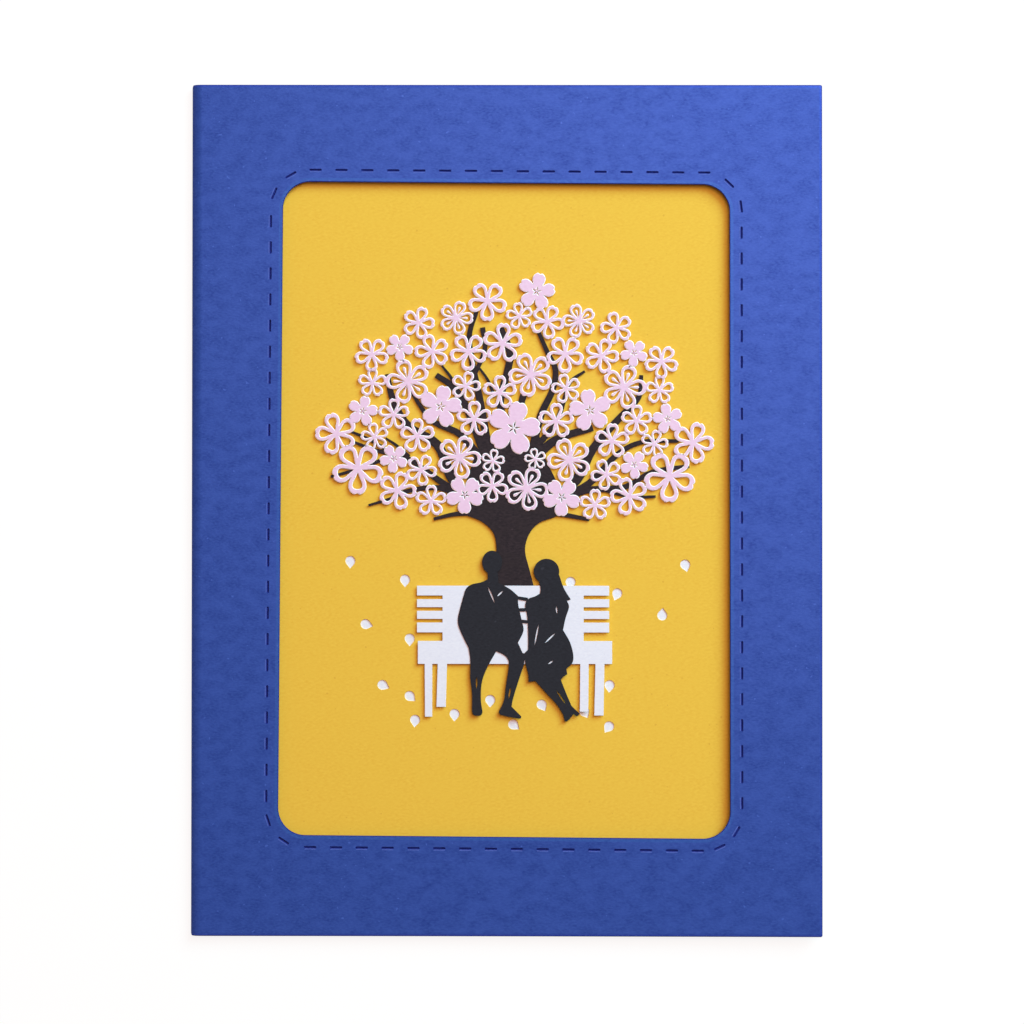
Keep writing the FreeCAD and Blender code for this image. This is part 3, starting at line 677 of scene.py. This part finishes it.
def petal_hole(across, up, facing):
    """A round head and a point that faces the given way."""
    reach = PETAL_LENGTH - PETAL_HEAD
    lean = math.acos(PETAL_HEAD / reach)
    turns = [lean + (2 * math.pi - 2 * lean) * step / HEAD_STEPS
             for step in range(HEAD_STEPS + 1)]
    shape = [Vector((math.cos(turn), math.sin(turn))) * PETAL_HEAD for turn in turns]
    shape.append(Vector((reach, 0)))
    turned = Matrix.Rotation(math.radians(facing), 2)
    return [turned @ point + Vector((across, up)) for point in shape]


print("petals cut out:", len(PETALS), "with", len(petal_hole(0, 0, 0)), "points each")

# %% Cut the page and the white sheet
PAGE_CHAMFER = 0.06
# How far the inside sheets reach into the rounded fold
REACH_INTO_FOLD = 0.6


def heights(node):
    """The lowest and highest level of a packed sheet."""
    low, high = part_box(node)
    return low.z / MM, high.z / MM


def inside_sheet(node):
    """The outline of an inside sheet, which ends inside the rounded fold."""
    low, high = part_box(node)
    left = -HALF_WIDTH + FOLD_DEPTH - REACH_INTO_FOLD
    return [(left, low.y / MM), (high.x / MM, low.y / MM),
            (high.x / MM, high.y / MM), (left, high.y / MM)]


page_shapes = [(inside_sheet("page"), PAPER)] + [(petal_hole(*petal), HOLE) for petal in PETALS]
page = make_sheet("yellow_page", page_shapes, *heights("page"), PAGE_CHAMFER,
                  [yellow_paper, yellow_cut])
backing = make_sheet("white_backing", [(inside_sheet("backing_sheet"), PAPER)],
                     *heights("backing_sheet"), PAGE_CHAMFER, [white_paper, white_paper])
for piece, node, slot_name in ((page, "page", "yellow_paper"),
                               (backing, "backing_sheet", "white_paper")):
    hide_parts(node)
    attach(piece, "card")

# %% [markdown]
# ## The tree
# The tree is one dark sheet: a trunk that spreads into a crown, and limbs that taper to their
# tips. A limb is a line with a width, so its two sides are found by stepping out at right
# angles from a smooth line. All of them are laid down as paper and become one sheet.

# %% The trunk
# Round the trunk from its left side, each run of points up to a corner
TRUNK = [
    [(-6.2, -2.6), (-3.6, -4.8), (-2.6, -7.5), (-2.7, -11.5), (-4.6, -22.0)],
    [(7.4, -22.0)],
    [(5.3, -14.0), (4.3, -10.0), (4.6, -7.2), (5.9, -4.6), (8.0, -2.8), (11.4, -1.6)],
    [(13.4, 1.6)],
    [(11.5, 7.0), (8.9, 12.5), (7.6, 17.6)],
    [(4.2, 14.6), (1.6, 19.6)],
    [(-1.4, 15.6), (-5.2, 17.6)],
    [(-7.8, 12.0), (-9.8, 6.0), (-11.4, 1.6)],
    [(-9.2, -1.4)],
]
print("points round the trunk:", len(outline_of(TRUNK)))

# %% The limbs
# Each limb: its width at the root and at the tip, then points from root to tip
LIMBS = [
    (1.3, 0.7, [(-7.5, -0.6), (-12.5, -1.0), (-17.2, -2.1)]),
    (1.5, 0.5, [(-9.0, 2.0), (-15.8, 5.2), (-23.6, 4.4), (-27.6, 2.6), (-32.6, 1.1)]),
    (1.7, 0.6, [(-10.0, 3.0), (-16.3, 7.2), (-23.8, 12.4), (-30.0, 13.8), (-37.0, 16.3)]),
    (0.9, 0.6, [(-27.0, 12.9), (-34.0, 10.0), (-41.5, 7.8)]),
    (0.9, 0.6, [(-27.0, 13.2), (-32.0, 16.4), (-36.6, 18.4)]),
    (0.8, 0.5, [(-23.0, 12.6), (-26.0, 15.2), (-28.6, 16.9)]),
    (2.7, 1.2, [(-10.0, 3.6), (-13.4, 8.4), (-16.4, 15.4), (-23.2, 19.8), (-26.8, 25.8),
                (-28.2, 32.0)]),
    (1.9, 0.7, [(-6.6, 12.6), (-11.0, 17.8), (-17.0, 20.6), (-19.8, 23.6), (-23.2, 29.0)]),
    (1.9, 1.3, [(-5.6, 14.0), (-8.2, 20.8), (-10.4, 26.0), (-13.2, 29.4), (-16.7, 31.8)]),
    (0.9, 0.5, [(-11.6, 28.0), (-13.2, 31.2), (-15.4, 34.0)]),
    (1.9, 1.0, [(-4.4, 14.4), (-6.4, 26.0), (-8.0, 33.6), (-8.9, 41.0), (-7.2, 46.8)]),
    (1.0, 1.2, [(-7.6, 32.0), (-5.2, 38.0), (-5.8, 43.0)]),
    (0.8, 0.5, [(-3.0, 26.6), (-4.4, 30.4), (-6.8, 33.8)]),
    (1.7, 1.7, [(0.8, 17.0), (-1.6, 25.0), (0.2, 33.0), (0.6, 37.4), (-1.8, 43.2)]),
    (1.2, 1.6, [(1.4, 17.4), (2.6, 22.4), (3.9, 27.2)]),
    (1.9, 0.9, [(6.0, 14.4), (8.0, 22.4), (10.6, 28.0), (11.4, 33.0), (9.4, 37.4),
                (7.4, 42.0)]),
    (1.5, 0.6, [(6.8, 14.8), (11.4, 20.4), (13.4, 25.8), (14.9, 30.2), (18.3, 32.7)]),
    (2.3, 1.5, [(7.4, 13.4), (12.4, 17.0), (20.2, 19.4)]),
    (2.7, 0.9, [(10.0, 2.0), (16.4, 7.2), (20.2, 14.4), (26.2, 21.4), (31.0, 26.6),
                (31.6, 31.8)]),
    (1.9, 0.8, [(11.0, 2.0), (19.2, 6.2), (25.6, 12.8), (31.6, 16.0), (40.4, 16.3)]),
    (1.8, 0.9, [(11.0, 1.0), (18.4, 4.6), (27.6, 5.4), (34.2, 9.0), (42.9, 10.4)]),
    (0.9, 0.6, [(22.0, 5.0), (29.0, 3.2), (35.0, 3.2)]),
    (1.4, 0.8, [(9.0, -0.4), (13.6, -1.1), (19.4, -2.2)]),
]


def limb_outline(root_width, tip_width, points, steps=5):
    """Both sides of a limb that narrows from its root to its tip."""
    line = curve_through(points, steps)
    left = []
    right = []
    for index, point in enumerate(line):
        before = line[max(index - 1, 0)]
        after = line[min(index + 1, len(line) - 1)]
        along = (after - before).normalized()
        share = index / (len(line) - 1)
        half = (root_width + (tip_width - root_width) * share) / 2
        aside = Vector((-along.y, along.x)) * half
        left.append(point + aside)
        right.append(point - aside)
    return left + right[::-1]


print("limbs:", len(LIMBS))

# %% Cut the tree
# How wide the slope at the cuts of the tree, the bench and the couple is
SCENE_CHAMFER = 0.05
tree_shapes = [(limb_outline(*limb), PAPER) for limb in LIMBS] + [(outline_of(TRUNK), PAPER)]
tree = make_sheet("paper_tree", tree_shapes, *heights("tree"), SCENE_CHAMFER,
                  [dark_paper, dark_cut])
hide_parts("tree")
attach(tree, "card")

# %% [markdown]
# ## The blossom
# One pink sheet of linked five-petal flowers lies over the tree. There are three kinds: open
# ones have a drop-shaped hole in each petal, double ones keep a little tongue of paper in each
# hole, and solid ones have only a small star cut at their middle. Every petal has a notch in
# its tip, as a cherry's has. One petal is drawn for a flower of radius 1, and every flower
# turns, scales and moves it.

# %% One petal of each kind
PETAL_COUNT = 5
PETAL_STEPS = 2
# One side of each shape from the middle of the flower outwards, as along and aside
PETAL_SIDE = [(0.34, 0.24), (0.5, 0.32), (0.68, 0.35), (0.85, 0.3), (0.965, 0.18),
              (0.988, 0.095), (0.945, 0.0)]
HOLE_SIDE = [(0.17, 0.0), (0.36, 0.08), (0.54, 0.165), (0.68, 0.192), (0.78, 0.13), (0.81, 0.0)]
DOUBLE_HOLE_SIDE = [(0.15, 0.0), (0.34, 0.095), (0.52, 0.185), (0.68, 0.22), (0.8, 0.155),
                    (0.85, 0.0)]
TONGUE_SIDE = [(0.08, 0.02), (0.34, 0.022), (0.5, 0.058), (0.6, 0.072), (0.66, 0.05),
               (0.69, 0.0)]
STAR_SIDE = [(0.03, 0.0), (0.12, 0.026), (0.26, 0.0)]


def both_sides(side):
    """A shape from one side of it, mirrored about its middle line."""
    curve = curve_through(side, PETAL_STEPS)
    mirrored = [Vector((point.x, -point.y)) for point in reversed(curve)]
    if abs(curve[-1].y) < NEARLY_SAME:
        mirrored = mirrored[1:]
    if abs(curve[0].y) < NEARLY_SAME:
        mirrored = mirrored[:-1]
    return curve + mirrored


PETAL_EDGE = both_sides(PETAL_SIDE)[::-1]
PETAL_HOLE = both_sides(HOLE_SIDE)
DOUBLE_HOLE = both_sides(DOUBLE_HOLE_SIDE)
TONGUE = both_sides(TONGUE_SIDE)
STAR_ARM = both_sides(STAR_SIDE)
print("points round one petal:", len(PETAL_EDGE), "and its hole:", len(PETAL_HOLE))

# %% Where the flowers are
# The paired flowers stand either side of an axis: how far it is to the right, and its lean
BLOSSOM_AXIS = 1.36
BLOSSOM_LEAN = -1.4
# Distance from the axis, height, radius, the way one petal faces, and the kind
PAIRED_FLOWERS = [
    (23.3, 43.5, 3.8, 0, "open"), (34.1, 35.8, 4.0, 270, "open"),
    (27.6, 37.7, 3.2, 273, "solid"), (14.5, 44.9, 4.0, 0, "double"),
    (19.95, 36.8, 4.1, 180, "open"), (11.4, 37.0, 4.4, 270, "open"),
    (25.4, 29.6, 5.2, 180, "double"), (33.8, 29.1, 3.4, 90, "open"),
    (11.8, 28.9, 3.5, 75, "open"), (17.6, 23.9, 4.9, 80, "solid"),
    (9.65, 21.2, 4.2, 90, "open"), (28.6, 21.8, 3.7, 90, "open"),
    (35.9, 22.4, 3.5, 78, "solid"), (42.0, 16.9, 4.9, 180, "open"),
    (32.9, 16.4, 3.3, 174, "open"), (22.9, 16.85, 4.1, 92, "open"),
    (28.3, 11.4, 3.3, 265, "solid"), (13.0, 12.1, 5.2, -5, "double"),
    (36.7, 8.85, 6.0, 270, "open"), (21.8, 8.9, 3.7, -8, "open"),
    (27.3, 3.9, 4.5, 0, "open"), (19.3, 1.7, 3.7, 90, "open"),
    (11.4, 3.3, 4.4, 270, "solid"),
]
SINGLE_FLOWERS = [
    (-5.0, 11.4, 2.8, 82, "open"), (5.0, 12.1, 2.6, 102, "open"),
    (-7.2, 49.0, 4.6, 270, "open"), (4.3, 51.6, 4.3, 80, "solid"),
    (0.4, 45.7, 3.2, 172, "open"), (7.0, 44.5, 4.0, -8, "open"),
    (-3.4, 39.2, 4.7, 88, "open"), (3.4, 32.0, 5.2, 260, "double"),
    (-3.8, 27.6, 4.0, 90, "open"), (-0.3, 19.3, 6.2, 77, "solid"),
    (-5.0, 5.5, 3.8, 273, "open"), (3.1, 5.15, 5.2, -5, "double"),
]
print("pairs of flowers:", len(PAIRED_FLOWERS), "and single ones:", len(SINGLE_FLOWERS))

# %% Cut the blossom
# The slope round every cut of the blossom is wide and gets a near-white painted highlight
BLOSSOM_CHAMFER = 0.2
# How much bigger a flower's edge is than drawn, so that it overlaps its neighbours
PETAL_REACH = 1.03
LAID_DOWN = ("open", "double", "solid")


def all_flowers():
    """Every flower about the upright axis, in the order in which they are laid down."""
    flowers = list(SINGLE_FLOWERS)
    for out, up, radius, facing, kind in PAIRED_FLOWERS:
        flowers.append((-out, up, radius, facing, kind))
        flowers.append((out, up, radius, 180 - facing, kind))
    return sorted(flowers, key=lambda flower: LAID_DOWN.index(flower[4]))


def petal_places(flower):
    """For each petal, its turn and scale as a matrix, and the middle of the flower."""
    across, up, radius, facing, _ = flower
    leaning = Matrix.Rotation(math.radians(BLOSSOM_LEAN), 2)
    middle = leaning @ Vector((across, up)) + Vector((BLOSSOM_AXIS, 0))
    places = []
    for petal in range(PETAL_COUNT):
        degrees = facing + BLOSSOM_LEAN + 360 / PETAL_COUNT * petal
        places.append((Matrix.Rotation(math.radians(degrees), 2) * radius, middle))
    return places


def placed(shape, place, reach=1.0):
    turned, middle = place
    return [turned @ (point * reach) + middle for point in shape]


def flower_shapes(flower):
    """The outline of one flower and what is cut out of it."""
    places = petal_places(flower)
    outline = sum([placed(PETAL_EDGE[:-1], place, PETAL_REACH) for place in places], [])
    shapes = [(outline, PAPER)]
    kind = flower[4]
    for place in places:
        if kind == "solid":
            shapes.append((placed(STAR_ARM, place), HOLE))
        elif kind == "double":
            shapes.append((placed(DOUBLE_HOLE, place), HOLE))
            shapes.append((placed(TONGUE, place), PAPER))
        else:
            shapes.append((placed(PETAL_HOLE, place), HOLE))
    return shapes


blossom_shapes = sum([flower_shapes(flower) for flower in all_flowers()], [])
blossom = make_sheet("paper_blossom", blossom_shapes, *heights("blossom"), BLOSSOM_CHAMFER,
                     [pink_paper, pink_cut_highlight])
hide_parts("blossom")
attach(blossom, "card")

# %% [markdown]
# ## The bench and the couple
# The bench is one white sheet with narrow gaps between its slats, and the couple is one black
# sheet on top of it. The figures are plain outlines with oval heads, and a few slits stand
# for the folds of their clothes.

# %% Cut the bench
# The bench's own sizes are measured from the middle of its top edge, which is here
BENCH_MIDDLE = 1.45
BENCH_TOP = -17.8
BACK_HALF = 22.6
BACK_FOOT = -11.0
SEAT_LEFT = -22.4
SEAT_RIGHT = 23.3
SEAT_TOP = -13.0
SEAT_FOOT = -18.4
SLOT_INNER = 16.6
SLAT_PITCH = 2.75
SLOT_HEIGHT = 0.85
SLATS = 3
# How far the gaps run out past the back, and the legs up into the seat
OVERRUN = 1
# Each leg: left and right at the seat, left and right at the foot, and the foot's level
LEGS = [(-20.8, -19.0, -20.7, -19.0, -30.8), (-17.7, -15.5, -18.0, -15.8, -28.5),
        (15.8, 17.8, 15.7, 17.7, -29.6), (19.4, 21.5, 19.1, 21.3, -30.5)]


def box_shape(left, low, right, high):
    return [(left, low), (right, low), (right, high), (left, high)]


def bench_shapes():
    shapes = [(box_shape(-BACK_HALF, BACK_FOOT, BACK_HALF, 0), PAPER),
              (box_shape(-SLOT_INNER, SEAT_TOP, SLOT_INNER, BACK_FOOT), PAPER),
              (box_shape(SEAT_LEFT, SEAT_FOOT, SEAT_RIGHT, SEAT_TOP), PAPER)]
    for slat in range(1, SLATS + 1):
        low = -SLAT_PITCH * slat - SLOT_HEIGHT / 2
        for left in (-BACK_HALF - OVERRUN, SLOT_INNER):
            right = left + BACK_HALF + OVERRUN - SLOT_INNER
            shapes.append((box_shape(left, low, right, low + SLOT_HEIGHT), HOLE))
    for seat_left, seat_right, foot_left, foot_right, foot in LEGS:
        shapes.append(([(foot_left, foot), (foot_right, foot),
                        (seat_right, SEAT_FOOT + OVERRUN), (seat_left, SEAT_FOOT + OVERRUN)],
                       PAPER))
    middle = Vector((BENCH_MIDDLE, BENCH_TOP))
    return [([Vector(point) + middle for point in outline], kind) for outline, kind in shapes]


bench = make_sheet("paper_bench", bench_shapes(), *heights("bench"), SCENE_CHAMFER,
                   [white_paper, white_paper])
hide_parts("bench")
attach(bench, "card")

# %% The outlines of the couple
# Round each body, each run of points up to a corner
MAN_BODY = [
    [(-6.1, -17.0), (-8.3, -17.5), (-9.6, -18.5), (-10.2, -20.2)],
    [(-10.9, -22.8), (-11.5, -25.4), (-11.3, -27.4), (-10.2, -30.0), (-9.0, -32.4)],
    [(-8.6, -35.2), (-8.6, -39.4), (-8.2, -43.0), (-8.2, -47.4)],
    [(-7.7, -48.2), (-6.2, -48.3), (-5.7, -47.5)],
    [(-6.1, -44.6), (-5.9, -40.6), (-4.7, -37.2), (-2.5, -33.2)],
    [(-0.6, -34.1), (0.4, -35.4), (0.4, -37.4)],
    [(-0.2, -41.2), (-0.7, -44.8), (-1.9, -47.4)],
    [(-1.6, -48.1)],
    [(1.0, -48.7), (3.1, -49.0), (3.4, -48.5)],
    [(2.3, -47.4), (1.1, -46.2)],
    [(1.5, -44.2), (2.6, -40.6), (4.0, -36.4)],
    [(4.4, -33.8)],
    [(3.7, -33.6)],
    [(2.6, -31.2)],
    [(3.9, -28.4), (3.5, -26.0), (2.7, -22.4), (2.6, -20.2)],
    [(1.0, -18.8), (-0.8, -17.7), (-2.0, -17.2)],
    [(-2.3, -14.0)],
    [(-4.6, -14.0)],
    [(-4.5, -16.3)],
]
WOMAN_BODY = [
    [(6.6, -20.3), (5.0, -20.9), (4.3, -22.4), (4.8, -25.0), (5.0, -29.4), (5.0, -32.8)],
    [(4.0, -33.8)],
    [(4.4, -36.2), (5.0, -38.4), (5.1, -40.4)],
    [(6.7, -40.2)],
    [(9.6, -43.4), (11.8, -45.8), (13.3, -48.2)],
    [(13.6, -49.5), (14.2, -49.6), (15.2, -48.6), (15.6, -47.9)],
    [(16.4, -48.4), (17.1, -47.9), (16.2, -47.0), (15.2, -46.0)],
    [(14.0, -43.2), (12.7, -39.9)],
    [(13.3, -39.2), (14.2, -38.6)],
    [(14.0, -37.3)],
    [(15.4, -35.9), (15.6, -33.9), (14.8, -31.0), (13.2, -28.2)],
    [(13.8, -25.4), (14.6, -22.8), (14.1, -21.3)],
    [(15.0, -21.0)],
    [(13.4, -18.4), (12.4, -15.6), (11.6, -13.6)],
    [(6.9, -14.0)],
    [(7.4, -16.4), (7.9, -18.2), (7.8, -19.6)],
]
# Heads are plain ovals: middle, half width, half height
HEADS = [((-3.5, -12.3), 2.35, 2.75), ((9.3, -14.4), 3.0, 2.95)]
# Each link between the arms: its two ends and its width
ARM_LINKS = [((2.2, -20.6), (4.9, -21.0), 0.75), ((2.3, -23.5), (4.9, -23.4), 0.75),
             ((3.0, -26.1), (5.1, -26.3), 0.75)]
CLOTHES_SLITS = [
    ((-4.5, -18.0), (-2.8, -22.0)), ((-2.3, -20.3), (-0.9, -19.0)),
    ((11.6, -22.6), (11.8, -24.4)), ((7.5, -26.8), (6.5, -31.9)),
    ((11.4, -28.9), (8.9, -31.3)), ((10.9, -35.4), (9.7, -36.2)),
    ((11.5, -42.2), (13.9, -45.7)), ((-7.1, -39.2), (-7.1, -42.0)),
    ((0.9, -41.6), (0.4, -44.4)),
]
print("points marked:", sum(len(run) for run in MAN_BODY + WOMAN_BODY))

# %% Cut the couple
CLOTHES_SLIT_WIDTH = 0.38


def oval(middle, half_width, half_height, steps=32):
    turns = [2 * math.pi * step / steps for step in range(steps)]
    return [Vector((middle[0] + half_width * math.cos(turn),
                    middle[1] + half_height * math.sin(turn))) for turn in turns]


def strip(start, end, width, marks):
    """An outline about the line from start to end. Each mark is a share of the way along it
    and a share of half the width to its side."""
    along = Vector(end) - Vector(start)
    aside = Vector((-along.y, along.x)).normalized() * (width / 2)
    return [Vector(start) + along * share + aside * bulge for share, bulge in marks]


# A band is a plain strip, and a slit runs to a point at each end
BAND = ((0, 1), (0, -1), (1, -1), (1, 1))
POINTED_SLIT = ((0, 0), (0.25, 0.8), (0.5, 1), (0.75, 0.8), (1, 0), (0.75, -0.8), (0.5, -1),
                (0.25, -0.8))


couple_shapes = [(outline_of(MAN_BODY), PAPER), (outline_of(WOMAN_BODY), PAPER)]
couple_shapes += [(oval(*head), PAPER) for head in HEADS]
couple_shapes += [(strip(*link, BAND), PAPER) for link in ARM_LINKS]
couple_shapes += [(strip(*ends, CLOTHES_SLIT_WIDTH, POINTED_SLIT), HOLE)
                  for ends in CLOTHES_SLITS]
couple = make_sheet("paper_couple", couple_shapes, *heights("couple"), SCENE_CHAMFER,
                    [black_paper, black_cut])
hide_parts("couple")
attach(couple, "card")

# %% [markdown]
# ## The hidden strips
# Three folded strips hold the scene off the page. They hardly show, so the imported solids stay
# and only get the page's paper.

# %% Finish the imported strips
for name in ("tree_strip", "bench_strip_left", "bench_strip_right"):
    folded_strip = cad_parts[name]
    folded_strip.data.materials.clear()
    folded_strip.data.materials.append(yellow_paper)
print("strips finished")

# %% [markdown]
# ## Floor, light and camera
# The card lies on a white surface in soft studio light from the upper right. The world lights
# it evenly and shows white to the camera. A warm lamp stands almost above the card and a cool
# one low at its side. With the world's own warm light their colours add up to white, but the
# cool lamp doesn't reach the soft shadows under the cut paper, so these turn orange, as in the
# photograph. The floor glows only for rays that show the background, so that it looks white
# and still keeps the card's shadow.

# %% Floor
FLOOR_DROP = 0.1
# Its size in metres, its own grey and the glow that makes up the rest of white
FLOOR_SIZE = 3.0
FLOOR_GREY = 0.16
FLOOR_GLOW = 0.87
FLOOR_ROUGHNESS = 0.9


def background_rays(tree):
    """1 for rays that show the background, and 0 for those that only bring light."""
    path = new_node(tree, "ShaderNodeLightPath")
    straight = calculate(tree, "MAXIMUM", path.outputs["Is Camera Ray"],
                         path.outputs["Is Glossy Ray"])
    return calculate(tree, "MAXIMUM", straight, path.outputs["Is Transmission Ray"])


def make_floor():
    half = FLOOR_SIZE / 2
    drop = -FLOOR_DROP * MM
    mesh = bpy.data.meshes.new("floor")
    corners = [(-half, -half, drop), (half, -half, drop), (half, half, drop), (-half, half, drop)]
    mesh.from_pydata(corners, [], [(0, 1, 2, 3)])
    floor = bpy.data.objects.new("floor", mesh)
    bpy.context.scene.collection.objects.link(floor)
    material = bpy.data.materials.new("white_floor")
    material.use_nodes = True
    tree = material.node_tree
    shader = tree.nodes["Principled BSDF"]
    shader.inputs["Base Color"].default_value = (FLOOR_GREY, FLOOR_GREY, FLOOR_GREY, 1)
    shader.inputs["Roughness"].default_value = FLOOR_ROUGHNESS
    shader.inputs["Specular IOR Level"].default_value = 0.0
    shader.inputs["Emission Color"].default_value = (1, 1, 1, 1)
    seen = calculate(tree, "MULTIPLY", background_rays(tree), FLOOR_GLOW)
    tree.links.new(seen, shader.inputs["Emission Strength"])
    mesh.materials.append(material)
    return floor


make_floor()
print("floor made")

# %% World and lamps
AMBIENT = 0.2
AMBIENT_COLOUR = (1.0, 0.5, 0.4)
# Each lamp: its place and size in metres, its share of the light on the card, and its colour
LAMPS = {
    "warm_top_lamp": (Vector((0.15, 0.26, 1.0)), 0.5, 0.485, (1.0, 0.62, 0.5)),
    "cool_side_lamp": (Vector((0.6, 0.66, 0.7)), 0.7, 0.72, (0.5, 0.9, 1.0)),
}


def make_world():
    world = bpy.data.worlds.new("white_studio")
    world.use_nodes = True
    bpy.context.scene.world = world
    tree = world.node_tree
    plain = tree.nodes["Background"]
    plain.inputs["Color"].default_value = (*AMBIENT_COLOUR, 1)
    plain.inputs["Strength"].default_value = AMBIENT
    shown = new_node(tree, "ShaderNodeBackground")
    shown.inputs["Strength"].default_value = 1.0
    chosen = new_node(tree, "ShaderNodeMixShader")
    tree.links.new(background_rays(tree), chosen.inputs[0])
    tree.links.new(plain.outputs[0], chosen.inputs[1])
    tree.links.new(shown.outputs[0], chosen.inputs[2])
    tree.links.new(chosen.outputs[0], tree.nodes["World Output"].inputs["Surface"])


def make_lamp(name, place, size, share, tint):
    """A square lamp that faces the card's middle."""
    lamp = bpy.data.lights.new(name, "AREA")
    lamp.size = size
    lamp.color = tint
    slant = place.z / place.length
    lamp.energy = share * math.pi ** 2 * place.length ** 2 / slant
    holder = bpy.data.objects.new(name, lamp)
    holder.location = place
    holder.rotation_euler = place.to_track_quat("Z", "Y").to_euler()
    bpy.context.scene.collection.objects.link(holder)
    print(f"{name}: {lamp.energy:.2f} W at {place.length:.2f} m")


make_world()
for lamp_name, settings in LAMPS.items():
    make_lamp(lamp_name, *settings)

# %% Camera
# How much of the card's plane the picture shows from side to side
VIEW_WIDTH = 240.5
LENS = 85.0
SENSOR = 36.0
CLIP_START = 0.01
# What the camera aims at, and how far it leans and turns
AIM = Vector((1.18, -0.47, 2.7)) * MM
TILT = math.radians(0.45)
ROLL = math.radians(0.05)


def make_camera():
    """A camera almost straight above the card, from which VIEW_WIDTH fills the picture."""
    lens = bpy.data.cameras.new("camera")
    lens.lens = LENS
    lens.sensor_width = SENSOR
    lens.clip_start = CLIP_START
    camera = bpy.data.objects.new("camera", lens)
    distance = VIEW_WIDTH * MM * LENS / SENSOR
    camera.location = AIM + Vector((0, -math.sin(TILT), math.cos(TILT))) * distance
    camera.rotation_euler = (TILT, 0, ROLL)
    bpy.context.scene.collection.objects.link(camera)
    bpy.context.scene.camera = camera
    print(f"camera {distance:.3f} m from the card")


make_camera()
bpy.context.scene.view_settings.view_transform = "Standard"
